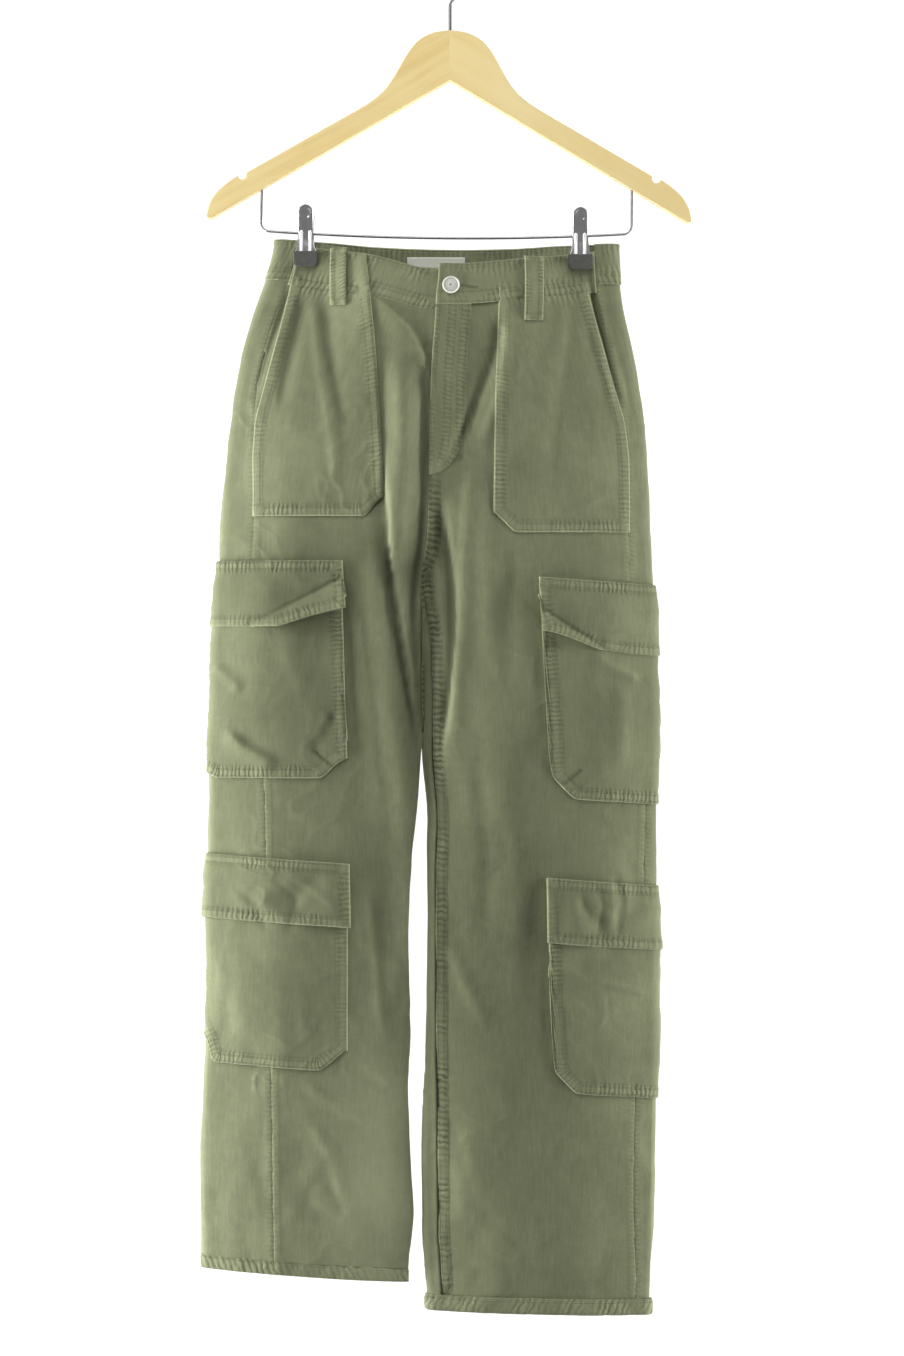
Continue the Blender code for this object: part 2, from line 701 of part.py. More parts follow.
def make_cargo_pockets(cloth, home):
    for cargo in CARGOS:
        mouth = cargo.flap_top + CARGO_MOUTH_BELOW_FLAP
        straight = cargo.bottom - cargo.corner
        levels = [mouth + (straight - mouth) * i / (CARGO_ROWS - 1) for i in range(CARGO_ROWS)]
        levels.append(cargo.bottom)
        grids = ([], [])
        for level in levels:
            trim = cargo.corner * smooth((level - straight) / cargo.corner)
            for grid, wall in zip(grids, (PATCH_WALL, 0.0)):
                row = []
                for along in cargo_places(cargo, level, trim):
                    lift = CARGO_GAP + cargo_lift(cargo, level, along) + wall
                    row.append(skin(*cargo_spot(cargo, level, along), lift))
                grid.append(row)
        cloth_wall(f"cargo_pocket_{cargo.name}", *grids, cloth, home)


def make_flaps(cloth, home):
    """Each flap is sewn above the mouth and hangs over it. The upper two curl at their front corners."""
    for cargo in CARGOS:
        grids = ([], [])
        for drop_below in (0.0, 10.0, 26.0, 44.0, cargo.flap_depth):
            level = cargo.flap_top + drop_below
            down = drop_below / cargo.flap_depth
            for grid, wall in zip(grids, (PATCH_WALL, 0.0)):
                row = []
                for along in cargo_places(cargo, level, -1.5):
                    front, _ = cargo_edges(cargo, level)
                    at_corner = smooth(1 - (front - along) / 62) if cargo.flap_curl else 0.0
                    raised = level - 18 * at_corner * down
                    over = (cargo_lift(cargo, raised, along) + PATCH_WALL + 0.8) * smooth(drop_below / 10)
                    flare = FLAP_FLARE * down * down + cargo.flap_curl * at_corner * down * down
                    lift = CARGO_GAP + over + flare + wall
                    row.append(skin(*cargo_spot(cargo, raised, along), lift))
                grid.append(row)
        cloth_wall(f"flap_{cargo.name}", *grids, cloth, home)


def make_label(paper, home):
    rows = []
    for drop in (208.5, 224.0, 241.0):
        rows.append([("right", drop, -along_of_x("right", drop, x)) for x in (-39.5, -27.0, -13.5)])
    inner = BAND_PROUD - BAND_WALL - LAYER_GAP
    wall_on_skin("label", rows, inner - LABEL_WALL, inner, paper, home)


# --- hard pieces ------------------------------------------------------------------------------------


def turned(name, profile, origin, turn, material, home):
    """A profile of (radius, height) points, outer side first from the top, turned about its axis."""
    mesh = bpy.data.meshes.new(name)
    points = [(radius * MM, 0.0, height * MM) for radius, height in profile]
    mesh.from_pydata(points, [(i, i + 1) for i in range(len(points) - 1)], [])
    made = place(name, mesh, material, home)
    screw = made.modifiers.new("turn", "SCREW")
    screw.steps = screw.render_steps = 24
    screw.use_merge_vertices = True
    screw.merge_threshold = 0.00001
    screw.use_smooth_shade = True
    made.matrix_world = Matrix.Translation(origin) @ turn
    return made


def make_button(metal, home):
    """A cast metal button: a raised rim round a dished face, on a short shank."""
    side = "left"
    along = along_of_x(side, BUTTON_DROP, BUTTON_X)
    seat = skin(side, BUTTON_DROP, along, BAND_PROUD + 0.4)
    above = skin(side, BUTTON_DROP, along, BAND_PROUD + 1.4)
    rim = BUTTON_RADIUS
    profile = (
        (0.0, BUTTON_HEIGHT - 0.7),
        (1.6, BUTTON_HEIGHT - 0.3),
        (2.6, BUTTON_HEIGHT - 0.9),
        (rim - 2.0, BUTTON_HEIGHT - 0.7),
        (rim - 1.2, BUTTON_HEIGHT),
        (rim - 0.3, BUTTON_HEIGHT - 0.3),
        (rim, BUTTON_HEIGHT - 1.1),
        (rim - 0.5, BUTTON_HEIGHT - 1.8),
        (4.5, BUTTON_HEIGHT - 2.0),
        (4.0, 0.0),
        (0.0, 0.0),
    )
    turn = (above - seat).to_track_quat("Z", "X").to_matrix().to_4x4()
    turned("button", profile, seat, turn, metal, home)


def wire(name, points, radius, material, home):
    data = bpy.data.curves.new(name, "CURVE")
    data.dimensions = "3D"
    data.bevel_depth = radius * MM
    data.bevel_resolution = 2
    data.use_fill_caps = True
    spline = data.splines.new("POLY")
    spline.points.add(len(points) - 1)
    for point, (x, y, z) in zip(spline.points, points):
        point.co = (x * MM, y * MM, z * MM, 1.0)
    return place(name, data, material, home)


def below_hook(drop):
    return -HOOK_HEIGHT - drop


def hook_points():
    """A question mark: up out of the wood, a bend to the side, then over the top."""
    radius = HOOK_INNER_RADIUS + HOOK_WIRE_RADIUS
    centre = -HOOK_INNER_RADIUS
    start = math.radians(-38)
    bend = Vector((radius * math.cos(start), 0, centre + radius * math.sin(start)))
    stem = Vector((0.5, 0, below_hook(-22.0)))
    heading = Vector((-math.sin(start), 0, math.cos(start)))
    points = [Vector((0.5, 0, below_hook(HOOK_HOLE_DEPTH - 2.0))), Vector((0.5, 0, below_hook(-8.0)))]
    reach = 16.0
    steps = 8
    for i in range(steps + 1):
        t = i / steps
        first = stem + Vector((0, 0, reach)) * t
        second = bend - heading * reach * (1 - t)
        points.append(first.lerp(second, smooth(t)))
    turns = 22
    for i in range(1, turns + 1):
        angle = start + math.radians(235) * i / turns
        points.append(Vector((radius * math.cos(angle), 0, centre + radius * math.sin(angle))))
    return points


def bar_points():
    """The trouser bar: down from the wood, a sagging run, and up again."""
    left_x, right_x = -174.5, 169.5
    corner = 8.0
    sides = {"left_end": below_hook(148.0 - BAR_HOLE_DEPTH + 2.0), "low": below_hook(178.0)}
    points = [(left_x, 0, sides["left_end"]), (left_x, 0, below_hook(150.0)), (left_x - 1.0, 0, sides["low"])]
    for angle in (20, 45, 70):
        turn = math.radians(angle)
        points.append((left_x - 1 + corner * (1 - math.cos(turn)), 0, sides["low"] - corner * math.sin(turn)))
    run = 20
    for i in range(run + 1):
        x = left_x + corner + (right_x - left_x - 2 * corner) * i / run
        sag = 1 - ((x - 20) / 190) ** 2
        points.append((x, 0, below_hook(186.0 + 6.6 * sag)))
    for angle in (70, 45, 20):
        turn = math.radians(angle)
        points.append((right_x - corner * (1 - math.cos(turn)), 0, sides["low"] - 1 - corner * math.sin(turn)))
    points += [(right_x, 0, sides["low"]), (right_x, 0, below_hook(150.0)), (right_x, 0, sides["left_end"])]
    return points


def bar_drop(x):
    return 186.0 + 6.6 * (1 - ((x - 20) / 190) ** 2)


def drill(name, x, top_drop, bottom_drop, radius, cutters):
    bm = bmesh.new()
    bmesh.ops.create_cone(
        bm, cap_ends=True, segments=16, radius1=radius * MM, radius2=radius * MM,
        depth=(bottom_drop - top_drop) * MM,
    )
    middle = below_hook((top_drop + bottom_drop) / 2)
    bmesh.ops.translate(bm, verts=bm.verts, vec=(x * MM, 0, middle * MM))
    mesh = bpy.data.meshes.new(name)
    bm.to_mesh(mesh)
    bm.free()
    made = bpy.data.objects.new(name, mesh)
    made.hide_render = True
    made.display_type = "WIRE"
    cutters.objects.link(made)
    return made


def wood_half_outline():
    """Right half of the hanger's outline from the top of the hump to the point under its middle."""
    hump = [(0, 0), (15, 2.2), (28, 8.4), (37, 18.0), (45, 31.0), (52, 43.5), (60, 55.0), (70, 64.5), (84, 73.8)]
    shoulder = [(120, 94.5), (158, 116.5), (186.0, 132.6)]
    notch = [(189.4, 135.6), (190.4, 139.2), (193.2, 140.0), (195.2, 137.4), (197.5, 137.6)]
    tip = [(206, 143.5), (216, 152.5), (222, 162), (225, 172), (224.6, 176.4), (220.5, 176.4)]
    return hump + shoulder + notch + tip + [(0.0, 46.5)]


def make_hanger(wood, chrome, home, cutters):
    half = wood_half_outline()
    outline = half + [(-x, drop) for x, drop in reversed(half[1:-1])]
    data = bpy.data.curves.new("hanger_outline", "CURVE")
    data.dimensions = "2D"
    data.fill_mode = "BOTH"
    data.extrude = (WOOD_THICKNESS / 2 - WOOD_EDGE_ROUND) * MM
    data.bevel_depth = WOOD_EDGE_ROUND * MM
    data.bevel_resolution = 1
    data.offset = -WOOD_EDGE_ROUND * MM
    spline = data.splines.new("POLY")
    spline.points.add(len(outline) - 1)
    for point, (x, drop) in zip(spline.points, outline):
        point.co = (x * MM, -drop * MM, 0, 1)
    spline.use_cyclic_u = True
    guide = bpy.data.objects.new("hanger_outline", data)
    home.objects.link(guide)
    mesh = bpy.data.meshes.new_from_object(guide.evaluated_get(bpy.context.evaluated_depsgraph_get()))
    bpy.data.objects.remove(guide, do_unlink=True)
    bm = bmesh.new()
    bm.from_mesh(mesh)
    bmesh.ops.remove_doubles(bm, verts=bm.verts, dist=0.00001)
    upright = Matrix.Rotation(math.pi / 2, 4, "X")
    tilt = Matrix.Rotation(WOOD_TILT, 4, "Y")
    lift = Matrix.Translation((0.9 * MM, 0.0, below_hook(0) * MM))
    bm.transform(lift @ tilt @ upright)
    bm.to_mesh(mesh)
    bm.free()
    mesh.name = "hanger_wood"
    mesh.materials.clear()
    made = place("hanger_wood", mesh, wood, home)
    mesh.shade_smooth()
    mesh.set_sharp_from_angle(angle=math.radians(40))
    holes = (
        ("hook_hole", 0.5, -10.0, HOOK_HOLE_DEPTH, HOOK_WIRE_RADIUS + WIRE_HOLE_CLEARANCE),
        ("bar_hole_right", -174.5, 148.0 - BAR_HOLE_DEPTH, 165.0, BAR_WIRE_RADIUS + WIRE_HOLE_CLEARANCE),
        ("bar_hole_left", 169.5, 148.0 - BAR_HOLE_DEPTH, 165.0, BAR_WIRE_RADIUS + WIRE_HOLE_CLEARANCE),
    )
    for name, x, top, bottom, radius in holes:
        cut = made.modifiers.new(name, "BOOLEAN")
        cut.operation = "DIFFERENCE"
        cut.solver = "EXACT"
        cut.object = drill(name, x, top, bottom, radius, cutters)
    wire("hanger_hook", hook_points(), HOOK_WIRE_RADIUS, chrome, home)
    wire("hanger_bar", bar_points(), BAR_WIRE_RADIUS, chrome, home)


def plate_rows(side):
    """The bent plate: pressed into its tip, nearest the other plate at the spring, flared as a handle."""
    pivot = CLIP_TIP_TOP[side] - bar_drop(CLIP_X[side])
    near = SPRING_OUTER_RADIUS + 0.3 + PLATE_THICKNESS / 2
    return (
        PlateRow(0.3, 10.2, 7.6, 1.5),
        PlateRow(4.0, 8.8, 6.9, 2.0),
        PlateRow(pivot - 6.0, 7.7, near + 0.5, 2.4),
        PlateRow(pivot, 7.3, near, 2.4),
        PlateRow(pivot + 6.0, 7.2, near + 0.9, 2.4),
        PlateRow(pivot + 13.0, 7.0, near + 3.0, 2.0),
        PlateRow(pivot + 18.5, 7.0, near + 5.4, 1.4),
    )


def make_clip(side, chrome, rubber, home):
    x = CLIP_X[side]
    tip_top = CLIP_TIP_TOP[side]
    layers = {
        "front": PINCH_HALF + BAND_PROUD + LAYER_GAP + PATCH_WALL + 0.4,
        "back": PINCH_HALF + BAND_PROUD + 0.4,
    }
    for face, sign in (("front", -1), ("back", 1)):
        make_tip(f"clip_{side}_tip_{face}", x, tip_top, sign, layers[face], rubber, home)
        bm = bmesh.new()
        rows = list(plate_rows(side))
        last = rows[-1]
        for angle in (30, 55, 75):
            turn = math.radians(angle)
            rise = PLATE_TOP_RADIUS * math.sin(turn)
            half = PLATE_TOP_RADIUS * math.cos(turn)
            rows.append(PlateRow(last.height + rise, half, last.reach + rise * 0.45, last.flange))
        grid = []
        for row in rows:
            z = below_hook(tip_top - row.height)
            points = (
                (-row.half_width, row.reach - row.flange),
                (-row.half_width, row.reach),
                (row.half_width, row.reach),
                (row.half_width, row.reach - row.flange),
            )
            grid.append([bm.verts.new(((x + px) * MM, sign * py * MM, z * MM)) for px, py in points])
        for low, high in zip(grid, grid[1:]):
            for i in range(3):
                corners = (low[i], low[i + 1], high[i + 1], high[i])
                bm.faces.new(corners if sign < 0 else corners[::-1])
        mesh = bpy.data.meshes.new(f"clip_{side}_{face}")
        bm.to_mesh(mesh)
        bm.free()
        mesh.shade_smooth()
        mesh.set_sharp_from_angle(angle=math.radians(40))
        made = place(f"clip_{side}_{face}", mesh, chrome, home)
        solid = made.modifiers.new("thickness", "SOLIDIFY")
        solid.thickness = PLATE_THICKNESS * MM
        solid.offset = 0.0
    make_spring(side, chrome, home)


def make_tip(name, x, top, sign, start, rubber, home):
    """A moulded rubber pad on the end of a plate, with rounded edges."""
    bm = bmesh.new()
    bmesh.ops.create_cube(bm, size=1.0)
    bmesh.ops.scale(bm, vec=(TIP_WIDTH * MM, TIP_THICKNESS * MM, TIP_HEIGHT * MM), verts=bm.verts)
    middle = sign * (start + TIP_THICKNESS / 2)
    bmesh.ops.translate(bm, verts=bm.verts, vec=(x * MM, middle * MM, below_hook(top + TIP_HEIGHT / 2) * MM))
    made = place(name, mesh_from(bm, name), rubber, home)
    rounding = made.modifiers.new("rounding", "BEVEL")
    rounding.width = 1.4 * MM
    rounding.segments = 2
    rounding.limit_method = "ANGLE"


def make_spring(side, chrome, home):
    """The coiled spring round the bar, drawn as the sleeve that its coils fill."""
    x = CLIP_X[side]
    bore = BAR_WIRE_RADIUS + 0.4
    half = SPRING_LENGTH / 2
    profile = (
        (bore, half),
        (SPRING_OUTER_RADIUS, half),
        (SPRING_OUTER_RADIUS, -half),
        (bore, -half),
        (bore, half),
    )
    slope = math.atan2(bar_drop(x + 4) - bar_drop(x - 4), 8.0)
    turn = Matrix.Rotation(math.pi / 2 + slope, 4, "Y")
    origin = Vector((x * MM, 0.0, below_hook(bar_drop(x)) * MM))
    turned(f"clip_{side}_spring", profile, origin, turn, chrome, home)


def main():
    clear_scene()
    home = collection("cargo_trousers_on_hanger")
    cutters = collection("cutters")
    cutters.hide_render = True
    twill = principled("olive_twill", (0.19, 0.205, 0.125), 0.92)
    label = principled("pale_tape", (0.48, 0.49, 0.44), 0.8)
    wood = principled("pale_wood", (0.80, 0.60, 0.30), 0.45)
    chrome = principled("chrome", (0.80, 0.80, 0.82), 0.15, 1.0)
    rubber = principled("black_rubber", (0.03, 0.03, 0.03), 0.55)
    metal = principled("button_metal", (0.62, 0.61, 0.56), 0.35, 1.0)
    make_panels(twill, home)
    make_hems(twill, home)
    make_waistband(twill, home)
    make_fly(twill, home)
    make_patch_pockets(twill, home)
    make_belt_loops(twill, home)
    make_cargo_pockets(twill, home)
    make_flaps(twill, home)
    make_label(label, home)
    make_button(metal, home)
    make_hanger(wood, chrome, home, cutters)
    for side in SIGN:
        make_clip(side, chrome, rubber, home)


main()
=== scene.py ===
import math

import bmesh
import bpy
import numpy as np
from mathutils import Matrix, Vector
from mathutils.bvhtree import BVHTree


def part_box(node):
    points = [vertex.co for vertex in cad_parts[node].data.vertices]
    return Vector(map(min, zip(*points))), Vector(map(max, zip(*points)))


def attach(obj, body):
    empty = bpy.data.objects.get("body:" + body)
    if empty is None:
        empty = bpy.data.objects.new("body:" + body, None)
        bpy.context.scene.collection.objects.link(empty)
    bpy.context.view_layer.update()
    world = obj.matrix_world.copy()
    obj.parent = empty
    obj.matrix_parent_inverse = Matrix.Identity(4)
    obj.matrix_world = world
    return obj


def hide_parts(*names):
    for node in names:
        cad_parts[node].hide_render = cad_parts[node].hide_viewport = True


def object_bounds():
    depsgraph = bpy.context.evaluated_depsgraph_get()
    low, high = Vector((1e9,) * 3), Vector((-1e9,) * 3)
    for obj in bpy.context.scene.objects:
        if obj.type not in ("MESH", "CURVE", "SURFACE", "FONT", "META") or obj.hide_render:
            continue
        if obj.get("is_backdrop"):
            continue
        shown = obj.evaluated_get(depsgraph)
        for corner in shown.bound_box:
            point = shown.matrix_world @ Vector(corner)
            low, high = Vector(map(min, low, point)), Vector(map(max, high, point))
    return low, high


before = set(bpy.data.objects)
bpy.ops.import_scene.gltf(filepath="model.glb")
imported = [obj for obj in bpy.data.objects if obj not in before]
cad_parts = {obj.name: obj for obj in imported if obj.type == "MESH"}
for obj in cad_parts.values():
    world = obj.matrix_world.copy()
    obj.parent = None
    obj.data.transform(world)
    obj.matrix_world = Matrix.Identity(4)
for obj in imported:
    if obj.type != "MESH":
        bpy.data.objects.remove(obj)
cad_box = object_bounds()
scene = bpy.context.scene
scene.view_settings.view_transform = "Standard"
MM = 0.001


# --- Camera ---
# The trousers hang in front of a studio wall and are seen squarely from the front, by a camera three
# metres away and level with the middle of the picture.
CAMERA_DISTANCE = 3.0
PICTURE_HEIGHT = 1.26108
PICTURE_MIDDLE = Vector((0.0023, 0.0, -0.6705))
camera_data = bpy.data.cameras.new("camera")
camera_data.sensor_fit = "VERTICAL"
camera_data.sensor_height = 24.0
camera_data.lens = camera_data.sensor_height * CAMERA_DISTANCE / PICTURE_HEIGHT
camera = bpy.data.objects.new("camera", camera_data)
camera.location = PICTURE_MIDDLE + Vector((0.0, -CAMERA_DISTANCE, 0.0))
camera.rotation_euler = (math.pi / 2, 0.0, 0.0)
scene.collection.objects.link(camera)
scene.camera = camera


# --- Studio wall and light ---
# A white paper sweep comes down behind the hanger and runs forward as the floor. It is lit evenly, and
# the cloth by a large soft light at the viewer's left, with a weaker one at the right.
SWEEP_FLOOR = cad_box[0].z - 0.35
SWEEP_FRONT = 0.1
SWEEP_BACK = 4.6
SWEEP_CURVE = 1.6
SWEEP_STEPS = 8
SWEEP_TOP = 9.0
SWEEP_SIDE = 12.0
# the room in front is white to look at, but too dim to light the cloth, and shows grey in the chrome
ROOM_LIGHT, ROOM_IN_CHROME = 0.035, 0.26
LIGHTS = (
    # name, place, width, height, watts
    ("key", (-1.1, -0.17, -0.92), 0.3, 1.65, 34.0),
    ("fill", (1.05, -0.17, -0.95), 0.3, 1.6, 19.0),
    ("top", (0.0, -0.9, 0.9), 1.6, 0.8, 16.0),
    ("front", (-1.9, -2.4, 0.3), 1.4, 1.4, 17.0),
)


def principled(name, roughness=0.6, metallic=0.0, **others):
    """A material with its node tree and its shader, ready for a pattern."""
    material = bpy.data.materials.new(name)
    material.use_nodes = True
    shader = material.node_tree.nodes["Principled BSDF"]
    settings = {"Roughness": roughness, "Metallic": metallic, **others}
    for setting, value in settings.items():
        shader.inputs[setting.replace("_", " ")].default_value = value
    return material, material.node_tree, shader


def linked(kind, settings=(), **inputs):
    """A node of the tree in hand, with its settings, and its inputs given as values or as sockets."""
    made = tree.nodes.new(kind)
    for name, value in dict(settings).items():
        setattr(made, name, value)
    for name, value in inputs.items():
        socket = made.inputs[int(name[1:]) if name[1:].isdigit() else name.replace("_", " ")]
        if isinstance(value, bpy.types.NodeSocket):
            tree.links.new(value, socket)
        else:
            socket.default_value = value
    return made


def maths(operation, *values):
    inputs = {f"_{number}": value for number, value in enumerate(values)}
    return linked("ShaderNodeMath", {"operation": operation}, **inputs).outputs[0]


def finished(name, bm, material):
    """The piece that a bmesh holds, as a smooth object."""
    mesh = bpy.data.meshes.new(name)
    bm.to_mesh(mesh)
    bm.free()
    mesh.shade_smooth()
    mesh.materials.append(material)
    piece = bpy.data.objects.new(name, mesh)
    scene.collection.objects.link(piece)
    return piece


def pulled_out(bm, geometry, vec):
    """Moves the vertices among what an extrusion has made."""
    bmesh.ops.translate(bm, verts=[part for part in geometry if isinstance(part, bmesh.types.BMVert)], vec=vec)


paper, tree, shader = principled(
    "studio_paper", 0.9, Base_Color=(0.35, 0.35, 0.35, 1.0), Emission_Color=(1.0, 1.0, 1.0, 1.0),
    Emission_Strength=1.0,
)
bm = bmesh.new()
curve_start = SWEEP_BACK - SWEEP_CURVE
profile = [(SWEEP_FRONT, SWEEP_FLOOR), (curve_start, SWEEP_FLOOR)]
for step in range(1, SWEEP_STEPS + 1):
    turn = math.pi / 2 * step / SWEEP_STEPS
    back = SWEEP_BACK - SWEEP_CURVE * (1 - math.sin(turn))
    profile.append((back, SWEEP_FLOOR + SWEEP_CURVE * (1 - math.cos(turn))))
profile.append((SWEEP_BACK, SWEEP_TOP))
line = [bm.verts.new((-SWEEP_SIDE, y, z)) for y, z in profile]
edges = [bm.edges.new(pair) for pair in zip(line, line[1:])]
pulled_out(bm, bmesh.ops.extrude_edge_only(bm, edges=edges)["geom"], (2 * SWEEP_SIDE, 0, 0))
sweep = finished("studio_sweep", bm, paper)
sweep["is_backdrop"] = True

world = bpy.data.worlds.new("studio")
world.use_nodes = True
tree = world.node_tree
background = tree.nodes["Background"]
background.inputs["Color"].default_value = (1.0, 1.0, 1.0, 1.0)
rays = linked("ShaderNodeLightPath").outputs
in_chrome = maths("MULTIPLY_ADD", rays["Is Glossy Ray"], ROOM_IN_CHROME, ROOM_LIGHT)
tree.links.new(maths("ADD", in_chrome, rays["Is Camera Ray"]), background.inputs["Strength"])
scene.world = world

for name, place, width, height, power in LIGHTS:
    light = bpy.data.lights.new(name, "AREA")
    light.shape = "RECTANGLE"
    light.size, light.size_y = width, height
    light.energy = power
    lamp = bpy.data.objects.new(name, light)
    lamp.location = place
    lamp.rotation_euler = (PICTURE_MIDDLE - lamp.location).to_track_quat("-Z", "Y").to_euler()
    scene.collection.objects.link(lamp)


# --- The hang of the cloth ---
# The trousers hang as two flattened tubes that are joined above the crotch. Their outside is read from
# the frame's panels, bands and hems at close heights and smoothed, and each cloth piece is laid on it.
# "drop" is the distance below the top of the wood, and "along" the distance over the cloth from the
# leg's outer edge, in front when above 0 and behind when below. Both are millimetres.
SIDES = {"right": -1, "left": 1}  # the wearer's own
WOOD_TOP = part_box("hanger_wood")[1].z
EDGE_ROUND = 5.0
ROUND_STEPS = 4
FLAT_STEPS = 60
HANG_COLUMNS = 240
HANG_STEP = 3.0
HANG_TOP = 192.0
HANG_ROWS = 338
CENTRE_LAP = {"right": 7.0, "left": 0.6}  # how far each half reaches over the centre seam, above the crotch
CROTCH_DROPS = (496.0, 520.0)
LAP_DROPS = (610.0, 690.0)
HELD_WIDTH = 13.0  # above the crotch, the cloth stays flat up to the centre seam
INNER_LEAST = 0.6  # a face that ends nearer to the middle than this is closed there
FLATTENING_DROPS = (530.0, 640.0)
READ_FROM = 0.2  # metres in front of the cloth's middle, and behind it
READ_PAST = 0.3 * MM  # a surface nearer to the middle than this belongs to the other face
ROW_LEAST = 40  # readings that a row needs before its gaps are bridged
OUTER_EASING, INNER_EASING = 14, 10
ACROSS_EASING, DOWN_EASING = 4, 24
# Below the crotch the legs' backs are drawn in until they lie nearly flat. Each row keeps only its least
# depth, times a share of it: (share of the width from the inside seam, share of that depth).
LEG_SHARES = {
    "right": (
        (0.0, 0.2), (0.03, 0.6), (0.07, 0.97), (0.12, 1.17), (0.35, 0.97), (0.6, 0.74), (0.84, 0.5), (0.93, 0.38),
        (1.0, 0.0),
    ),
    "left": (
        (0.0, 0.05), (0.03, 0.4), (0.06, 0.66), (0.09, 0.8), (0.13, 0.85), (0.3, 0.88), (0.5, 0.84), (0.68, 0.71),
        (0.84, 0.5), (0.94, 0.3), (1.0, 0.0),
    ),
}
hang_drops = HANG_TOP + HANG_STEP * np.arange(HANG_ROWS)


def steps(value, start, end):
    """0 before the start, 1 after the end, and smooth between."""
    share = np.clip((np.asarray(value, float) - start) / (end - start), 0, 1)
    return share * share * (3 - 2 * share)


def eased(values, passes, axis):
    """Values smoothed along one axis, with both ends held."""
    values = np.moveaxis(values.copy(), axis, 0)
    for _ in range(passes):
        values[1:-1] = values[1:-1] / 2 + (values[:-2] + values[2:]) / 4
    return np.moveaxis(values, 0, axis)


def bridged(values):
    """A row or column of readings with its missing ones filled from their neighbours."""
    known = np.flatnonzero(~np.isnan(values))
    return np.interp(np.arange(len(values)), known, values[known])


def nodes_of(*starts):
    return sorted(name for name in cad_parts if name.startswith(starts))


def edge_ends(*nodes, facing=0):
    """Both ends of every edge of these nodes, or of their front (1) or back (-1), as X, Y and drop."""
    found = []
    for node in nodes:
        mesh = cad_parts[node].data
        places = np.array([vert.co for vert in mesh.vertices]) / MM
        places[:, 2] = WOOD_TOP / MM - places[:, 2]
        found.append(places[np.array([edge.vertices[:] for edge in mesh.edges])])
    ends = np.concatenate(found)
    return ends[(ends[:, :, 1] * facing < 0).all(axis=1)] if facing else ends


def crossing(ends, axis, place):
    """The points where edges cross a plane."""
    start, run = ends[:, 0], ends[:, 1] - ends[:, 0]
    share = (place - start[:, axis]) / np.where(run[:, axis] == 0, np.inf, run[:, axis])
    met = (share > 0) & (share <= 1)
    return start[met] + run[met] * share[met, None]


def reach(ends, axis, places, measure):
    """(low, high) along one axis where planes across another cut the edges, with gaps bridged."""
    cuts = [crossing(ends, axis, place)[:, measure] for place in places]
    met = [i for i, cut in enumerate(cuts) if len(cut)]
    low = np.interp(places, places[met], [cuts[i].min() for i in met])
    high = np.interp(places, places[met], [cuts[i].max() for i in met])
    return low, high


def xs_across(ends, margin, count):
    """Even X places over the width that edges span, less a margin at both sides."""
    return np.linspace(ends[..., 0].min() + margin, ends[..., 0].max() - margin, count)


def leg_edges(side, everything, body):
    """X, at each row, of the leg's outer edge and of its inner edge."""
    sign = SIDES[side]
    band, hem = edge_ends(f"waistband_{side}"), edge_ends(f"hem_{side}")
    band_low = reach(band, 0, xs_across(band, 1, 30), 2)[0].max()
    hem_high = reach(hem, 0, xs_across(hem, 1, 30), 2)[1].min()
    to_hem = hang_drops < hem_high - 2
    covered = hang_drops[(hang_drops > band[..., 2].min() + 1) & to_hem]
    whole = hang_drops[(hang_drops > band_low + 1) & to_hem]
    outer = reach(edge_ends(*everything), 2, covered, 0)[::-sign][0]
    inner = reach(edge_ends(*body, f"waistband_{side}"), 2, whole, 0)[::-sign][1]
    outer = eased(np.interp(hang_drops, covered, outer), OUTER_EASING, 0)
    inner = eased(np.interp(hang_drops, whole, inner), INNER_EASING, 0)
    inner -= sign * CENTRE_LAP[side] * (1 - steps(hang_drops, *LAP_DROPS))
    return outer, inner


def outside_of(nodes):
    """The surface of these nodes, ready to be met by straight lines."""
    corners, triangles = [], []
    for node in nodes:
        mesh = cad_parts[node].data
        triangles += [[i + len(corners) for i in face.vertices] for face in mesh.polygons]
        corners += [vert.co for vert in mesh.vertices]
    return BVHTree.FromPolygons(corners, triangles)


